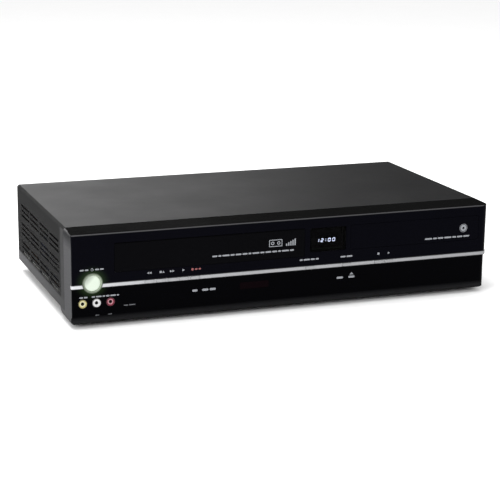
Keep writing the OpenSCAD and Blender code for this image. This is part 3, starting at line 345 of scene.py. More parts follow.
def build_glow_group():
    """Light that falls off round a point on the face: 1 at the inner radius, 0 at the outer."""
    group, given, out = node_group(
        "glow_round_point", {"Centre": (0.0, 0.0, 0.0), "Inner": 0.01, "Outer": 0.03}, ("Mask",)
    )
    away = vector_node(group, "DISTANCE", spot(group), given["Centre"])["Value"]
    fall = span_node(group, away, given["Inner"], given["Outer"], 1.0, 0.0)
    feed(group, out["Mask"], math_node(group, "POWER", fall, 2.5))


def named(values):
    """Socket names in place of keyword names."""
    return {name.replace("_", " "): value for name, value in values.items()}


def place_group(tree, name, **values):
    """The outputs of a shared group, placed in a material with its own values."""
    return add_node(tree, "Group", named(values), node_tree=GROUPS[name]).outputs


def grain_group(tree, **values):
    """The outputs of the grain, placed with its own values."""
    return place_group(tree, "surface_grain", **values)


# ---- materials


def blank_material(name):
    """A material with one Principled shader, and its tree."""
    made = bpy.data.materials.new(name)
    made.use_nodes = True
    return made, made.node_tree


def coat(made, group, height=None, bump=0.0, depth=0.0, **more):
    """Feeds a material's shader with a group's colour and roughness, a relief and what else is given."""
    tree = made.node_tree
    inputs = tree.nodes["Principled BSDF"].inputs
    feed(tree, inputs["Base Color"], group["Color"])
    feed(tree, inputs["Roughness"], group["Roughness"])
    if height is not None:
        relief = add_node(tree, "Bump", {"Strength": bump, "Distance": depth, "Height": height})
        feed(tree, inputs["Normal"], relief.outputs["Normal"])
    for socket, value in named(more).items():
        feed(tree, inputs[socket], value)
    return made


def repaint(made, change, sockets=("Base Color",), **values):
    """Puts one more change between the shader's colours and what feeds them."""
    tree = made.node_tree
    for socket in sockets:
        target = tree.nodes["Principled BSDF"].inputs[socket]
        feed(tree, target, change(tree, target.links[0].from_socket, **values))
    return made


def grained(name, base, rough, grain=1500.0, patch=0.15, dust=0.04, spread=0.06, bump=0.15, depth=2e-5,
            **more):
    """Painted or moulded finish with grain."""
    made, tree = blank_material(name)
    group = grain_group(tree, Color=base, Roughness=rough, Grain_Scale=grain, Patch=patch, Dust=dust,
                        Sheen_Spread=spread)
    return coat(made, group, group["Height"], bump, depth, **more)


def brushed(name, base, rough, stretch, contrast=0.25):
    """Bare or plated metal with fine lines."""
    made, tree = blank_material(name)
    group = place_group(tree, "brushed_lines", Color=base, Roughness=rough, Stretch=stretch,
                        Contrast=contrast)
    return coat(made, group, group["Height"], 0.08, 1e-5, Metallic=1.0)


def lit(name, base, glow, strength, rough=0.25):
    """Translucent plastic that glows."""
    made, tree = blank_material(name)
    group = grain_group(tree, Color=base, Roughness=rough, Patch=0.08, Dust=0.0, Sheen_Spread=0.03)
    shine = mix_colour(tree, 0.5, group["Color"], glow)
    return coat(made, group, Emission_Color=shine, Emission_Strength=strength)


def give(material, *nodes):
    """Puts one material on whole CAD nodes."""
    for name in nodes:
        slots = NODES[name].data.materials
        slots.clear()
        slots.append(material)


# ---- finishes of single pieces

GREEN_BOARD = ((0.011, 0.062, 0.025), (0.028, 0.105, 0.045))
BROWN_BOARD = ((0.16, 0.09, 0.03), (0.28, 0.16, 0.06))
CHIP_BLACK, SLEEVE_BLUE = (0.018, 0.018, 0.02), (0.014, 0.020, 0.048)
# The door's and the strip's edge tones are painted shade; the ring's edge tone is where its light fades.
DOOR_EDGE_SHADOW, STRIP_EDGE_SHADE, RING_EDGE = (0.0003, 0.0003, 0.0004), (0.02, 0.02, 0.022), (0.008, 0.012, 0.007)
# Painted shade for the jacks' contacts and outer edges.
JACK_SHADE = (0.02, 0.02, 0.02)
LIT_SOCKETS = ("Base Color", "Emission Color")


def cover_finish(finish):
    """Satin paint, rougher down the sides, where painted shade darkens it; the sides are paler along their
    feet and their front ends.
    """
    made, tree = blank_material("cover_paint")
    place = axes(tree, spot(tree))
    sideways = math_node(tree, "ABSOLUTE", facing_axes(tree)["X"])
    side = span_node(tree, sideways, 0.10, 0.30)
    upright = span_node(tree, sideways, 0.90, 0.98)
    foot = edge_span(tree, place["Z"], COVER_LOW.z, 11, 9)
    backwards = span_node(tree, place["Y"], COVER_LOW.y, COVER_HIGH.y, 0.45, 1.0)
    front = edge_span(tree, place["Y"], COVER_LOW.y, 14, 12, 0.0, 0.35)
    pale = math_node(tree, "MAXIMUM", math_node(tree, "MULTIPLY", upright, foot, backwards),
                     math_node(tree, "MULTIPLY", upright, front))
    # Painted shade down the sides and round the folds.
    tone = mix_colour(tree, side, finish.cover, finish.cover_side_shade)
    tone = mix_colour(tree, pale, tone, finish.cover_foot)
    rough = span_node(tree, side, 0.0, 1.0, finish.cover_rough, finish.cover_side_rough)
    grain = grain_group(tree, Color=tone, Roughness=rough, Grain_Scale=2600.0, Patch=0.10, Dust=0.03,
                        Sheen_Spread=0.04)
    return coat(made, grain, grain["Height"], 0.25, 2e-5)


def bezel_finish(finish):
    """Gloss face and top band with a painted highlight on the edge between them, textured ends with painted
    shade on their upper part, and the ring's light painted on the face.
    """
    made, tree = blank_material("bezel_black")
    place = axes(tree, spot(tree))
    facing = facing_axes(tree)
    outer = edge_span(tree, math_node(tree, "ABSOLUTE", place["X"]), FACE_HIGH.x, -9, -7)
    sideways = span_node(tree, math_node(tree, "ABSOLUTE", facing["X"]), 0.55, 0.85)
    wing = math_node(tree, "MULTIPLY", sideways, outer)
    # Painted shade over the upper part of the textured ends.
    wing_shade_mask = edge_span(tree, place["Z"], FACE_HIGH.z, -16, -4)
    speckle = span_node(tree, noise_node(tree, spot(tree), 800.0, 2.0), 0.40, 0.60, 0.0, 0.35)
    above = span_node(tree, facing["Z"], 0.75, 0.95)
    # Painted highlight on the rounded edge over the face, where it slants between up and front.
    slant = math_node(tree, "MULTIPLY", facing["Z"], math_node(tree, "MULTIPLY", facing["Y"], -2.0))
    edge = math_node(tree, "MULTIPLY", span_node(tree, slant, 0.25, 0.6),
                     edge_span(tree, place["Z"], STRIP_HIGH.z, 1, 2))
    tone = finish.face
    # Painted light among these tones: the lower face's darker tone is painted shade, the lip's paler one a
    # painted reflection, the edge's a painted highlight and the wings' darker top painted shade.
    for mask, paint in (
        (edge_span(tree, place["Z"], STRIP_LOW.z, 0, -0.5), finish.lower_face_shade),
        (edge_span(tree, place["Z"], LIP_Z, 1, -4), finish.lip_reflection),
        (above, finish.top_band),
        (edge, finish.edge),
        (wing, mix_colour(tree, wing_shade_mask, finish.wing, finish.wing_top_shade)),
        (math_node(tree, "MULTIPLY", speckle, wing), finish.wing_grain),
    ):
        tone = mix_colour(tree, mask, tone, paint)
    rough = span_node(tree, above, 0.0, 1.0, finish.gloss_rough, 0.10)
    rough = math_node(tree, "ADD", rough, math_node(tree, "MULTIPLY", wing, 0.5))
    grain = grain_group(tree, Color=tone, Roughness=rough, Patch=0.10, Dust=0.004, Sheen_Spread=0.02)
    # Painted light: the face glows green round the power ring, standing in for the ring's light falling on
    # it.
    glow = place_group(tree, "glow_round_point", Centre=(RING_CENTRE.x, FACE_Y, RING_CENTRE.z),
                       Inner=RING_RADIUS, Outer=19 * MM)
    return coat(made, grain, math_node(tree, "MULTIPLY", grain["Height"], wing), 0.7, 1e-4,
                Emission_Color=mix_colour(tree, glow["Mask"], (0, 0, 0), finish.ring),
                Emission_Strength=0.03, Specular_IOR_Level=finish.gloss_level)


def gloss_finish(name, tone, finish, rough=0.10):
    """Gloss moulding without masks, for the door, the tray's front and the remote window."""
    return grained(name, tone, rough, grain=700.0, patch=0.12, dust=0.0, spread=0.02, bump=0.02,
                   depth=1e-5, Specular_IOR_Level=finish.gloss_level)


def door_finish(finish):
    """Gloss black, with painted shadow along the rounded upper and left edges of the door."""

    def paint_edge_shade(tree, tone):
        # Painted shadow of the gap along the door's upper and left edges.
        place = axes(tree, spot(tree))
        upper = edge_span(tree, place["Z"], DOOR_HIGH.z, -1.0, -0.8)
        left = edge_span(tree, place["X"], DOOR_LOW.x, 0.8, 0.6)
        return mix_colour(tree, math_node(tree, "MAXIMUM", upper, left), tone, DOOR_EDGE_SHADOW)

    return repaint(gloss_finish("door_black", finish.door, finish), paint_edge_shade)


def silver(name, tone, rough):
    """Silver paint with painted light, paler next to the ring and falling away from it."""

    def paint_light_falloff(tree, tone):
        # Painted light: brightest next to the ring, weaker towards the right end.
        across = axes(tree, spot(tree))["X"]
        turn = STRIP_LOW.x + 90 * MM
        near = span_node(tree, across, STRIP_LOW.x, turn, 1.55, 0.93)
        far = span_node(tree, across, turn, STRIP_HIGH.x, 1.0, 0.84)
        return mix_colour(tree, 1.0, tone, math_node(tree, "MULTIPLY", near, far), "MULTIPLY")

    made = grained(name, tone, rough, grain=5200.0, patch=0.05, dust=0.0, spread=0.03, bump=0.12,
                   Metallic=0.25)
    return repaint(made, paint_light_falloff)


def strip_finish(finish):
    """Silver paint between upper and lower edges darkened with painted shade."""

    def paint_edge_shade(tree, tone):
        # Painted shade along the strip's upper and lower edges.
        away = math_node(tree, "ABSOLUTE", math_node(tree, "SUBTRACT", axes(tree, spot(tree))["Z"], STRIP_Z))
        half = (STRIP_HIGH.z - STRIP_LOW.z) / 2
        return mix_colour(tree, edge_span(tree, away, half, -0.72, -0.6), tone, STRIP_EDGE_SHADE)

    return repaint(silver("silver_paint", finish.strip, 0.36), paint_edge_shade)


def lamp_slope(tree, tone, tilt, start, end, weak, strong):
    """Takes the power lamp's light from weak to strong towards the right, between two distances in
    button radii from the middle; a tilt leans the slope downwards."""
    place = axes(tree, spot(tree))
    across = math_node(tree, "SUBTRACT", place["X"], math_node(tree, "MULTIPLY", place["Z"], tilt))
    zero = BUTTON_CENTRE.x - tilt * BUTTON_CENTRE.z
    slope = span_node(tree, across, zero + start * BUTTON_RADIUS, zero + end * BUTTON_RADIUS, weak, strong)
    return mix_colour(tree, 1.0, tone, slope, "MULTIPLY")


def button_finish():
    """White button with the lamp behind it, weaker at the upper left."""
    made = lit("button_white", (0.50, 0.56, 0.48), (0.84, 1.0, 0.80), 0.15, 0.2)
    return repaint(made, lamp_slope, LIT_SOCKETS, tilt=1.0, start=-1.4, end=-0.35, weak=0.45, strong=1.0)


def ring_finish(finish):
    """Translucent ring, stronger at the right, lit from its inner edge and dark at the outer one."""

    def fade(tree, tone):
        fall = place_group(tree, "glow_round_point", Centre=(RING_CENTRE.x, RING_LOW.y, RING_CENTRE.z),
                           Inner=BUTTON_RADIUS - 0.5 * MM, Outer=RING_RADIUS + 1.5 * MM)
        return mix_colour(tree, fall["Mask"], RING_EDGE, tone)

    made = lit("ring_light", (0.40, 0.46, 0.36), finish.ring, 0.10)
    repaint(made, lamp_slope, LIT_SOCKETS, tilt=0.0, start=0.2, end=1.0, weak=1.0, strong=1.6)
    return repaint(made, fade, LIT_SOCKETS)


def jack_finish(node, hue, face):
    """Coloured rim round a paler centre that is a painted highlight, with painted shade in the contact and
    along the outer edge.
    """
    made, tree = blank_material(node + "_finish")
    low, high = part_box(node)
    radius = (high.x - low.x) / 2
    away = axis_distance(tree, middle(node), (1, 0, 1))
    # Painted highlight on the paler centre, then painted shade in the contact and round the outer edge.
    tone = mix_colour(tree, span_node(tree, away, radius * 0.68, radius * 0.64), hue, face)
    tone = mix_colour(tree, edge_span(tree, away, 0, 1.8, 1.6), tone, JACK_SHADE)
    tone = mix_colour(tree, span_node(tree, away, radius * 0.88, radius * 0.92, 0.0, 0.8), tone, JACK_SHADE)
    grain = grain_group(tree, Color=tone, Roughness=0.32, Patch=0.10, Dust=0.0)
    return coat(made, grain, grain["Height"], 0.1, 1e-5)


def window_finish(name, tint, level):
    """Smoked clear plastic."""
    made, tree = blank_material(name)
    group = grain_group(tree, Color=tint, Roughness=0.03, Patch=0.08, Dust=0.0, Sheen_Spread=0.01)
    return coat(made, group, Transmission_Weight=1.0, IOR=1.2, Specular_IOR_Level=level)


def board_finish(name, base, copper, top):
    """Lacquered board with copper paths below the level top, and its parts above it."""
    made, tree = blank_material(name)
    place = spot(tree)
    feeds = {"Vector": place, "Scale": 150.0, "Mortar Size": 0.06, "Mortar Smooth": 0.1, "Brick Width": 1.7,
             "Color1": base, "Color2": [v * 0.8 for v in base], "Mortar": copper}
    paths = add_node(tree, "TexBrick", feeds, offset=0.37).outputs
    cells = add_node(tree, "TexVoronoi", {"Scale": 55.0, "Vector": place}).outputs["Color"]
    pick = span_node(tree, add_node(tree, "SeparateColor", {0: cells}).outputs["Red"], 0.55, 0.6)
    parts = mix_colour(tree, pick, CHIP_BLACK, SLEEVE_BLUE)
    raised = edge_span(tree, axes(tree, place)["Z"], top, 0.1, 0.3)
    tone = mix_colour(tree, raised, paths["Color"], parts)
    grain = grain_group(tree, Color=tone, Roughness=0.38, Patch=0.2, Dust=0.15)
    return coat(made, grain, paths["Fac"], 0.2, 5e-5)


def turned(name, base, rough, axis_node):
    """Lathe-turned metal: fine rings about an upright axis through a CAD node's middle."""
    made, tree = blank_material(name)
    away = axis_distance(tree, middle(axis_node), (1, 1, 0))
    profile = add_node(tree, "CombineXYZ", {"X": away, "Y": axes(tree, spot(tree))["Z"]}).outputs[0]
    rings = noise_node(tree, profile, 4200.0, 2.0)
    group = place_group(tree, "brushed_lines", Color=base, Roughness=rough, Stretch=(60.0, 60.0, 60.0),
                        Contrast=0.12)
    tone = swing_colour(tree, group["Color"], span_node(tree, rings, 0.3, 0.7, -1.0, 1.0), 0.12)
    return coat(made, group, rings, 0.12, 1e-5, Base_Color=tone, Metallic=1.0)


# ---- mesh pieces


def link_mesh(name, bm, material):
    """Turns a bmesh into an object of the scene."""
    mesh = bpy.data.meshes.new(name)
    bm.to_mesh(mesh)
    bm.free()
    mesh.materials.append(material)
    made = bpy.data.objects.new(name, mesh)
    bpy.context.scene.collection.objects.link(made)
    return made


def piece(name, bm, material, body):
    """Turns a bmesh into a piece that rides on a body."""
    bmesh.ops.recalc_face_normals(bm, faces=bm.faces)
    made = link_mesh(name, bm, material)
    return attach(made, body)


def loop_of(bm, outline, y):
    """Vertices at the points of an outline in (X, Z), on the plane y."""
    return [bm.verts.new((x, y, z)) for x, z in outline]


def join_loops(bm, first, second):
    """A band of faces between two loops with as many vertices."""
    for i in range(len(first)):
        j = (i + 1) % len(first)
        bm.faces.new((first[i], first[j], second[j], second[i]))


def prism(bm, outline, y, thick):
    """A closed plate from an outline in (X, Z), standing out of the plane y towards the front."""
    back = loop_of(bm, outline, y)
    front = loop_of(bm, outline, y - thick)
    bm.faces.new(front)
    bm.faces.new(reversed(back))
    join_loops(bm, back, front)


def ring_prism(bm, centre, inner, outer, y, thick, steps=40):
    """A flat closed ring standing out of the plane y towards the front."""
    sections = ((inner, y), (inner, y - thick), (outer, y - thick), (outer, y))
    loops = [loop_of(bm, disc_mark(*centre, radius, steps), level) for radius, level in sections]
    for k in range(len(loops)):
        join_loops(bm, loops[k], loops[(k + 1) % len(loops)])


# Outlines of the printed marks, all in (X, Z) about a centre, anticlockwise from the front.


def box_mark(x, z, width, height):
    """A rectangle."""
    return [(x - width / 2, z - height / 2), (x + width / 2, z - height / 2),
            (x + width / 2, z + height / 2), (x - width / 2, z + height / 2)]


def bar_mark(x, z, width, height, steps=6):
    """A bar with round ends."""
    radius = height / 2
    points = []
    for side, start in ((1, -math.pi / 2), (-1, math.pi / 2)):
        for k in range(steps + 1):
            a = start + math.pi * k / steps
            points.append((x + side * (width / 2 - radius) + radius * math.cos(a), z + radius * math.sin(a)))
    return points


def disc_mark(x, z, radius, steps):
    """A round disc."""
    turns = [math.tau * k / steps for k in range(steps)]
    return [(x + radius * math.cos(a), z + radius * math.sin(a)) for a in turns]


def arrow_mark(x, z, width, height, way=1):
    """A triangle that points right, or left when way is -1."""
    half = way * width / 2
    rise = way * height / 2
    return [(x - half, z - rise), (x + half, z), (x - half, z + rise)]


def rise_mark(x, z, width, height):
    """A triangle that points up."""
    return [(x - width / 2, z - height / 2), (x + width / 2, z - height / 2), (x, z + height / 2)]


def rule_marks(x0, x1, z, height, lengths, space):
    """A printed rule from x0 to x1, in dashes whose lengths repeat; lengths and space are in millimetres."""
    marks = []
    x = x0
    while x < x1 - height:
        reach = min(lengths[len(marks) % len(lengths)] * MM, x1 - x)
        marks.append(bar_mark(x + reach / 2, z, reach, height))
        x += reach + space * MM
    return marks


# Side, level and lie of each segment, and the segments of each digit that the display shows.
SEGMENT_SHAPES = {
    "a": (0, 1, True), "g": (0, 0, True), "d": (0, -1, True),
    "f": (-1, 0.5, False), "b": (1, 0.5, False), "e": (-1, -0.5, False), "c": (1, -0.5, False),
}
DIGIT_SEGMENTS = {"0": "abcdef", "1": "bc", "2": "abged"}
DISPLAY_DIGITS = "1200"
COLON_SPACE = 0.35


def segment_marks(digit, x, z, width, height, bar, lean=0.12):
    """The lit bars of one digit, leaning a little to the right."""
    marks = []
    half = (height - bar) / 2
    tip = bar / 2
    for letter in DIGIT_SEGMENTS[digit]:
        side, level, lying = SEGMENT_SHAPES[letter]
        cx = side * (width - bar) / 2
        cz = level * half
        reach = ((width - bar) if lying else half) / 2 - bar * 0.12
        along = [(-reach, 0), (-reach + tip, -tip), (reach - tip, -tip),
                 (reach, 0), (reach - tip, tip), (-reach + tip, tip)]
        corners = along if lying else [(-b, a) for a, b in along]
        marks.append([(x + cx + a + lean * (cz + b), z + cz + b) for a, b in corners])
    return marks


def print_outlines(bm, outlines, y):
    """Thin plates from outlines on the plane y."""
    for outline in outlines:
        prism(bm, outline, y, PRINT_LIFT)


def marks_piece(name, outlines, y, material, body):
    """One piece from the outlines of printed or lit marks."""
    bm = bmesh.new()
    print_outlines(bm, outlines, y)
    return piece(name, bm, material, body)


# ---- operators


class PlayerOperator(bpy.types.Operator):
    """One step in dressing the player."""

    bl_options = {"REGISTER", "UNDO"}


class SharedEffects(PlayerOperator):
    """Builds the shader groups that the finishes share."""

    bl_idname = "player.shared_effects"
    bl_label = "Shared effects"

    def execute(self, context):
        build_grain_group()
        build_brush_group()
        build_glow_group()
        return {"FINISHED"}


class DressCover(PlayerOperator):
    """Paints the cover and blackens its screws."""

    bl_idname = "player.cover"
    bl_label = "Cover"

    def execute(self, context):
        give(cover_finish(context.scene.player_finish), "top_cover")
        give(grained("blackened_screw", (0.02, 0.02, 0.022), 0.32, dust=0.0, Metallic=0.7), "case_screws")
        return {"FINISHED"}


class DressFront(PlayerOperator):
    """Finishes the front moulding, the cassette door, the tray's front and the windows."""

    bl_idname = "player.front"
    bl_label = "Front"

    def execute(self, context):
        finish = context.scene.player_finish
        give(bezel_finish(finish), "front_bezel")
        give(door_finish(finish), "cassette_door")
        give(gloss_finish("tray_front_black", finish.face, finish), "tray_front")
        give(window_finish("smoked_window", (0.11, 0.11, 0.13), finish.gloss_level), "display_window")
        give(gloss_finish("dark_red_window", (0.0022, 0.0006, 0.0012), finish, 0.05), "remote_window")
        return {"FINISHED"}


class DressTrim(PlayerOperator):
    """Paints the silver strip and its keys."""

    bl_idname = "player.trim"
    bl_label = "Strip and keys"

    def execute(self, context):
        finish = context.scene.player_finish
        give(strip_finish(finish), "front_trim_strip")
        give(silver("silver_caps", [part * 0.93 for part in finish.strip[:3]], 0.33), *KEYS)
        return {"FINISHED"}


class DressPower(PlayerOperator):
    """Lights the ring and the power button."""

    bl_idname = "player.power"
    bl_label = "Power button"

    def execute(self, context):
        give(ring_finish(context.scene.player_finish), "power_light_ring")
        give(button_finish(), "power_button")
        return {"FINISHED"}


class DressFrontJacks(PlayerOperator):
    """Colours the three front jacks and the block behind them."""

    bl_idname = "player.front_jacks"
    bl_label = "Front jacks"

    def execute(self, context):
        yellow, white, red = (0.44, 0.39, 0.16), (0.58, 0.58, 0.58), (0.17, 0.015, 0.035)
        # The paler centre colours of the jacks are painted highlights.
        faces = ((0.56, 0.54, 0.36), (0.60, 0.60, 0.60), (0.42, 0.19, 0.22))
        for node, hue, face in zip(JACKS, (yellow, white, red), faces):
            give(jack_finish(node, hue, face), node)
        give(grained("jack_block_black", (0.02, 0.02, 0.02), 0.5), "front_jack_block")
        return {"FINISHED"}


class PrintMarks(PlayerOperator):
    """Prints plain symbols and rules on the face, the cassette door and the tray's front."""

    bl_idname = "player.marks"
    bl_label = "Printed marks"

    def execute(self, context):
        finish = context.scene.player_finish
        faint = [part * 0.42 for part in finish.printing[:3]]
        white, grey, red = (
            grained(name, tone, 0.45, patch=0.06, dust=0.0)
            for name, tone in (("printing_white", finish.printing), ("printing_grey", faint),
                               ("printing_red", finish.record))
        )
        sizes = context.scene.player_marks
        x = {name: middle(name).x for name in KEYS}
        self.print_key_marks(sizes, x, white, red)
        self.print_lower_marks(sizes, x, white, grey)
        self.print_power_marks(white)
        self.print_door_marks(white)
        self.print_tray_marks(white)
        return {"FINISHED"}

    def print_key_marks(self, sizes, x, white, red):
        """The signs and rules over the keys; their heights follow the mark height."""
        high = sizes.key_mark
        over = STRIP_Z + sizes.key_mark_rise
        marks = []
        for name, way in (("key_rewind", -1), ("key_fast_forward", 1)):
            for step in (-0.5, 0.5):
                marks.append(arrow_mark(x[name] + step * high * 0.95, over, high * 0.9, high, way))
        for shape, name, aside, width, height in (
            (box_mark, "key_stop", 0, 0.95, 0.85),
            (rise_mark, "key_stop", 1.1, 0.95, 0.8),
            (arrow_mark, "key_play", 0, 0.95, 1),
            (box_mark, "key_disc_stop", 0, 0.9, 0.9),
            (arrow_mark, "key_disc_play", 0, 0.95, 1),
        ):
            marks.append(shape(x[name] + high * aside, over, high * width, high * height))
        for name, half, dashes in (("key_output_select", 10.6, (3.4, 6.6, 4.4)),
                                   ("key_open_close", 6.4, (5.6, 6.4))):
            marks += rule_marks(x[name] - half * MM, x[name] + half * MM, over, high * 0.66, dashes, 0.8)
        marks_piece("key_marks", marks, FACE_Y, white, "cabinet")
        record = x["key_record"]
        marks = [disc_mark(record - high, over, high * 0.5, 28)]
        marks += rule_marks(record - 0.1 * MM, record + 6.4 * MM, over, high * 0.6, (2.8, 2.6), 0.9)
        marks_piece("record_mark", marks, FACE_Y, red, "cabinet")

    def print_lower_marks(self, sizes, x, white, grey):
        """The signs and rules on the lower face, under the keys and round the jacks."""
        high = sizes.key_mark
        under = STRIP_Z - sizes.key_mark_drop
        record = x["key_record"]
        marks = [bar_mark(record + 0.4 * MM, under, high * 2.2, high * 0.9)]
        marks += rule_marks(record + 7.6 * MM, record + 21.4 * MM, under, high * 0.9, (6.4, 6.2), 1.2)
        eject = x["key_open_close"] + 6.4 * MM
        marks.append(rise_mark(eject, under + high * 1.4, high * 1.8, high))
        marks.append(bar_mark(eject, under, high * 2.8, high * 0.85))
        marks.append(bar_mark(eject - 12.6 * MM, under, high * 2.9, high * 0.85))
        video, left, right = [middle(name) for name in JACKS]
        line = video.z + 6 * MM
        marks += rule_marks(video.x - 3 * MM, video.x + 5.4 * MM, line, 1.4 * MM, (3.6,), 0.7)
        marks += rule_marks(left.x - 4.6 * MM, right.x + 8.4 * MM, line, 1.4 * MM, (3.4, 5.4, 2.6), 0.8)
        marks_piece("lower_marks", marks, LOWER_Y, white, "cabinet")
        marks = []
        for jack, way in ((left, -1), (right, 1)):
            level = jack.z - 12 * MM
            marks.append(arrow_mark(jack.x + way * 0.8 * MM, level, 1.6 * MM, 1.6 * MM, way))
            marks.append(bar_mark(jack.x - way * 1.4 * MM, level, 2.2 * MM, 0.6 * MM))
        line = right.z - 4.8 * MM
        marks += rule_marks(right.x + 13 * MM, right.x + 25 * MM, line, 0.9 * MM, (4.2, 6.0), 0.9)
        marks_piece("small_lower_marks", marks, LOWER_Y, grey, "cabinet")

    def print_power_marks(self, white):
        """A ring with a bar at its top, the plain sign for on and standby, between two short rules."""
        x = BUTTON_CENTRE.x
        z = RING_HIGH.z + 3.1 * MM
        bm = bmesh.new()
        ring_prism(bm, (x, z), 0.95 * MM, 1.3 * MM, FACE_Y, PRINT_LIFT)
        prism(bm, box_mark(x, z + 0.9 * MM, 0.4 * MM, 1.5 * MM), FACE_Y - PRINT_LIFT, PRINT_LIFT)
        half = 4.6 * MM
        for side in (-1, 1):
            rule = x + side * 7.3 * MM
            dashes = rule_marks(rule - half, rule + half, z, 1.4 * MM, (4.0, 3.6), 0.8)
            print_outlines(bm, dashes, FACE_Y)
        piece("power_marks", bm, white, "cabinet")

    def print_door_marks(self, white):
        """A plain cassette sign, a rising row of bars and a rule on the cassette door."""
        y = DOOR_LOW.y
        right = DOOR_HIGH.x - 13 * MM
        z = DOOR_LOW.z + 15.6 * MM
        wide, tall, line = 13.6 * MM, 7.0 * MM, 0.7 * MM
        left = right - 27 * MM + wide / 2
        bm = bmesh.new()
        for side in (-1, 1):
            ring_prism(bm, (left + side * wide * 0.23, z), 0.9 * MM, 1.7 * MM, y, PRINT_LIFT)
            print_outlines(bm, (box_mark(left, z + side * (tall - line) / 2, wide, line),
                                box_mark(left + side * (wide - line) / 2, z, line, tall - 2 * line)), y)
        rises = [(2.2 + 1.1 * k) * MM for k in range(5)]
        bars = [box_mark(right - (4 - k) * 2.2 * MM, z - tall / 2 + rise / 2, 1.3 * MM, rise)
                for k, rise in enumerate(rises)]
        dashes = (5.2, 3.1, 7.4, 4.3, 6.1)
        rule = rule_marks(right - 85 * MM, right, DOOR_LOW.z + 7.4 * MM, 1.5 * MM, dashes, 0.9)
        print_outlines(bm, bars + rule, y)
        piece("door_marks", bm, white, "cassette_door")

    def print_tray_marks(self, white):
        """A plain disc sign and a rule on the tray's front."""
        y = TRAY_LOW.y
        right = TRAY_HIGH.x - 10 * MM
        place = (right - 7 * MM, TRAY_LOW.z + 12.5 * MM)
        bm = bmesh.new()
        ring_prism(bm, place, 1.2 * MM, 3.3 * MM, y, PRINT_LIFT)
        ring_prism(bm, place, 3.9 * MM, 4.3 * MM, y, PRINT_LIFT)
        rule = rule_marks(right - 50 * MM, right, TRAY_LOW.z + 4 * MM, 1.6 * MM, (8.2, 4.4, 6.3), 0.9)
        print_outlines(bm, rule, y)
        piece("tray_marks", bm, white, "disc_tray")


class LightDisplay(PlayerOperator):
    """Fits the dark display tube with four lit digits and a colon."""

    bl_idname = "player.display"
    bl_label = "Display"

    def execute(self, context):
        sizes = context.scene.player_marks
        tone = context.scene.player_finish.digits
        tube = (0.012, 0.014, 0.016)
        give(grained("tube_glass", tube, 0.12, patch=0.05, dust=0.0, Specular_IOR_Level=0.3), "display_tube")
        glow = lit("digit_light", tone, tone, 13.0)
        x = middle("display_window").x
        z = middle("display_window").z - 2.3 * MM
        outlines = []
        for k, digit in enumerate(DISPLAY_DIGITS):
            aside = COLON_SPACE if k > 1 else -COLON_SPACE
            place = x + (k - 1.5) * sizes.digit_pitch + aside * sizes.digit_pitch
            outlines += segment_marks(digit, place, z, sizes.digit_width, sizes.digit_height, sizes.bar)
        for side in (-1, 1):
            outlines.append(disc_mark(x, z + side * sizes.digit_height * 0.22, 0.32 * MM, 16))
        marks_piece("display_digits", outlines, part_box("display_tube")[0].y, glow, "cabinet")
        return {"FINISHED"}


class DressRear(PlayerOperator):
    """Finishes the rear panel, its jacks with coloured rings, the mains lead's gland and the feet."""

    bl_idname = "player.rear"
    bl_label = "Rear"

    def execute(self, context):
        give(brushed("zinc_steel_rear", (0.50, 0.50, 0.48), 0.38, (300.0, 40.0, 12.0), 0.12), "rear_panel")
        black = grained("moulded_black", (0.018, 0.018, 0.019), 0.48, grain=1800.0, bump=0.3)
        give(black, "rear_jack_block", "mains_gland", "feet")
        low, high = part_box("rear_jack_block")
        centre = (low.x + high.x) / 2
        pitch, proud = 14 * MM, 0.02 * MM
        lower_row = high.z - 21 * MM
        yellow, white, red = (0.72, 0.60, 0.08), (0.80, 0.80, 0.78), (0.55, 0.03, 0.05)
        blue, orange = (0.04, 0.24, 0.62), (0.62, 0.22, 0.03)
        for column, hue in enumerate((yellow, white, red, blue, orange)):
            ring = grained(f"insulator_{column}", hue, 0.35, patch=0.08, dust=0.0)
            bm = bmesh.new()
            for level in (0, 1):
                place = (centre + (column - 2) * pitch, lower_row + level * pitch)
                ring_prism(bm, place, 2.2 * MM, 3.3 * MM, high.y - proud, -proud)
            piece(f"insulator_rings_{column}", bm, ring, "cabinet")
        return {"FINISHED"}


class DressBoards(PlayerOperator):
    """Finishes the circuit boards with their parts, the tuner with its aerial sockets, and the chassis."""

    bl_idname = "player.boards"
    bl_label = "Boards and chassis"

    def execute(self, context):
        for name, node, paints in (("main_board", "main_circuit_board", GREEN_BOARD),
                                   ("supply_board", "power_supply_board", BROWN_BOARD)):
            give(board_finish(name, *paints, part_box(node)[0].z + BOARD_THICKNESS), node)
        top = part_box("key_circuit_board")[1].z
        give(board_finish("key_board", *GREEN_BOARD, top), "key_circuit_board")
        give(brushed("tuner_plate", (0.58, 0.58, 0.55), 0.30, (40.0, 300.0, 40.0), 0.15), "tuner_module")
        give(brushed("chassis_zinc", (0.46, 0.46, 0.44), 0.42, (12.0, 160.0, 160.0), 0.14), "bottom_chassis")
        return {"FINISHED"}


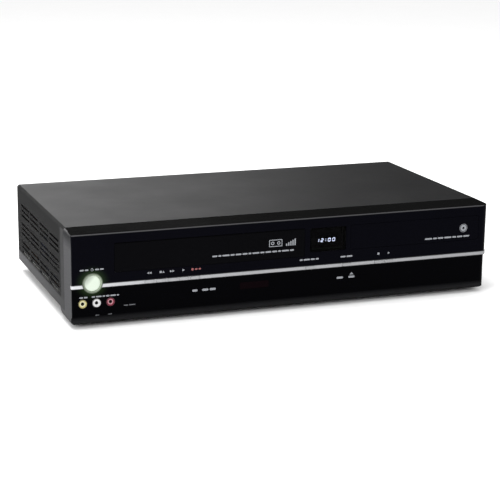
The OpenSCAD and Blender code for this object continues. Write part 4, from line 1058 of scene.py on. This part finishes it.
class DressTapeDeck(PlayerOperator):
    """Finishes the tape transport: plates, drums, reels, capstan, posts and gears."""

    bl_idname = "player.tape_deck"
    bl_label = "Tape deck"

    def execute(self, context):
        plate = brushed("deck_plate", (0.52, 0.52, 0.50), 0.34, (160.0, 14.0, 160.0), 0.16)
        give(plate, "deck_base", "deck_side_rails", "carriage_slider", "cassette_holder", "pinch_arm")
        can = brushed("motor_can", (0.60, 0.60, 0.58), 0.26, (90.0, 90.0, 20.0))
        give(can, "loading_motor", "tape_heads")
        for node in ("lower_drum", "upper_drum"):
            give(turned(node + "_alloy", (0.66, 0.66, 0.65), 0.20, "upper_drum"), node)
        give(turned("flywheel_metal", (0.56, 0.42, 0.18), 0.24, "capstan_flywheel"), "capstan_flywheel")
        for node in ("guide_post_left", "guide_post_right"):
            give(turned(node + "_steel", (0.70, 0.70, 0.69), 0.16, node), node)
        give(grained("roller_rubber", (0.014, 0.014, 0.015), 0.72, grain=2400.0, bump=0.4), "pinch_roller")
        ivory = (0.58, 0.55, 0.46)
        give(grained("ivory_acetal", ivory, 0.36, patch=0.10, dust=0.06, Subsurface_Weight=0.08),
             "supply_reel", "takeup_reel", "cam_gear")
        return {"FINISHED"}


class DressDiscLoader(PlayerOperator):
    """Finishes the disc loader: frame, tray, gears, clamp, turntable and pickup."""

    bl_idname = "player.disc_loader"
    bl_label = "Disc loader"

    def execute(self, context):
        frame_black = grained("loader_black", (0.022, 0.022, 0.024), 0.44, grain=1700.0, bump=0.35)
        give(frame_black, "loader_frame", "traverse_frame")
        give(grained("tray_black", (0.030, 0.030, 0.033), 0.38, grain=2400.0, bump=0.25), "disc_tray")
        ivory = (0.60, 0.58, 0.50)
        give(grained("loader_ivory", ivory, 0.34, patch=0.10, dust=0.04, Subsurface_Weight=0.08),
             "tray_gear", "clamp_puck")
        give(brushed("bridge_zinc", (0.52, 0.52, 0.50), 0.34, (14.0, 160.0, 160.0)), "clamp_bridge")
        give(brushed("tray_motor_can", (0.60, 0.60, 0.58), 0.26, (90.0, 90.0, 20.0)), "tray_motor")
        give(turned("turntable_alloy", (0.64, 0.64, 0.63), 0.24, "spindle_turntable"), "spindle_turntable")
        give(grained("pickup_black", (0.02, 0.02, 0.022), 0.40), "laser_pickup")
        return {"FINISHED"}


class BuildStage(PlayerOperator):
    """Sets the pale floor, the soft lights and the camera."""

    bl_idname = "player.stage"
    bl_label = "Stage"

    def execute(self, context):
        scene = context.scene
        light = scene.player_light
        bm = bmesh.new()
        sides = ((-1, -1), (1, -1), (1, 1), (-1, 1))
        bm.faces.new([bm.verts.new((x * FLOOR_REACH, y * FLOOR_REACH, 0)) for x, y in sides])
        staged = [link_mesh("floor", bm, self.floor_paper(light.floor))]
        staged.append(self.lamp("key_light", light.key, (1.7, 1.1), (-0.35, 0.10, 1.75)))
        staged.append(self.lamp("fill_light", light.fill, (0.5, 0.4), (-0.95, -0.80, 0.50)))
        scene.world = self.surround(light)
        self.place_camera(scene)
        scene.view_settings.view_transform = "Standard"
        return {"FINISHED"}

    def floor_paper(self, level):
        """Pale paper that shows darker in reflections, as if the floor ended near the player."""
        made = grained("studio_floor", (level, level, level), 0.9, grain=300.0, patch=0.01, dust=0.0,
                       bump=0.0, Specular_IOR_Level=0.02)
        tree = made.node_tree
        pale = tree.nodes["Principled BSDF"].outputs["BSDF"]
        dark = add_node(tree, "BsdfDiffuse", {"Color": (0.16, 0.16, 0.16)}).outputs["BSDF"]
        glossy = add_node(tree, "LightPath").outputs["Is Glossy Ray"]
        mix = add_node(tree, "MixShader", {"Fac": glossy, 1: pale, 2: dark})
        feed(tree, tree.nodes["Material Output"].inputs["Surface"], mix.outputs["Shader"])
        return made

    def lamp(self, name, power, size, place):
        """A soft oblong light that looks at the player's middle."""
        data = bpy.data.lights.new(name, "AREA")
        data.shape = "RECTANGLE"
        data.size, data.size_y = size
        data.energy = power
        made = bpy.data.objects.new(name, data)
        made.location = place
        made.rotation_euler = (LAMP_AIM - Vector(place)).to_track_quat("-Z", "Y").to_euler()
        bpy.context.scene.collection.objects.link(made)
        return made

    def surround(self, light):
        """White surround; reflections see it bright low at the back left, weaker in front, dim elsewhere."""
        world = bpy.data.worlds.new("studio")
        world.use_nodes = True
        tree = world.node_tree
        way = add_node(tree, "TexCoord").outputs["Generated"]
        level = axes(tree, way)
        aim = vector_node(tree, "DOT_PRODUCT", way, Vector(light.bright_side).normalized())["Value"]
        side = span_node(tree, aim, BRIGHT_RIM, 1.0, 0.0, light.bright)
        low = span_node(tree, level["Z"], light.bright_top, light.bright_top - BRIGHT_FADE)
        ahead = span_node(tree, level["Y"], 0.1, -0.3, light.dim, light.front)
        panel = math_node(tree, "MAXIMUM", math_node(tree, "MULTIPLY", side, low), ahead)
        glossy = add_node(tree, "LightPath").outputs["Is Glossy Ray"]
        strength = add_node(tree, "Mix", {0: glossy, 2: light.world, 3: panel}).outputs[0]
        back = tree.nodes["Background"]
        feed(tree, back.inputs["Color"], (1, 1, 1))
        feed(tree, back.inputs["Strength"], strength)
        return world

    def place_camera(self, scene):
        """Looks along yaw and pitch, with a little roll about the line of sight."""
        aim = scene.player_camera
        data = bpy.data.cameras.new("camera")
        data.lens = aim.lens
        data.sensor_width = 36
        data.clip_start = 0.05
        camera = bpy.data.objects.new("camera", data)
        camera.location = (aim.across, FACE_Y - aim.ahead, aim.height)
        turn = Matrix.Rotation(-aim.yaw, 3, "Z") @ Matrix.Rotation(math.pi / 2 - aim.pitch, 3, "X")
        camera.rotation_euler = (turn @ Matrix.Rotation(aim.roll, 3, "Z")).to_euler()
        scene.collection.objects.link(camera)
        scene.camera = camera


OPERATORS = (SharedEffects, DressCover, DressFront, DressTrim, DressPower, DressFrontJacks, PrintMarks,
             LightDisplay, DressRear, DressBoards, DressTapeDeck, DressDiscLoader, BuildStage)


class PlayerPanel(bpy.types.Panel):
    """Lists the player's steps and settings in the sidebar."""

    bl_idname = "VIEW3D_PT_player"
    bl_label = "Player"
    bl_space_type = "VIEW_3D"
    bl_region_type = "UI"
    bl_category = "Player"

    def draw(self, context):
        for step in OPERATORS:
            self.layout.operator(step.bl_idname)
        for name, group in PROPERTY_GROUPS.items():
            box = self.layout.box()
            for prop in group.bl_rna.properties:
                if prop.identifier not in {"rna_type", "name"}:
                    box.prop(getattr(context.scene, name), prop.identifier)


CLASSES = (*PROPERTY_GROUPS.values(), *OPERATORS, PlayerPanel)


def register():
    for made in CLASSES:
        bpy.utils.register_class(made)
    for name, group in PROPERTY_GROUPS.items():
        setattr(bpy.types.Scene, name, bpy.props.PointerProperty(type=group))


def unregister():
    for name in PROPERTY_GROUPS:
        delattr(bpy.types.Scene, name)
    for made in reversed(CLASSES):
        bpy.utils.unregister_class(made)


def run_step(step):
    """Calls one operator; a failure inside it stops the script."""
    family, name = step.bl_idname.split(".")
    result = getattr(getattr(bpy.ops, family), name)()
    if result != {"FINISHED"}:
        raise RuntimeError(f"{step.bl_idname} did not finish: {result}")


def main():
    register()
    for step in OPERATORS:
        run_step(step)


if __name__ == "__main__":
    main()
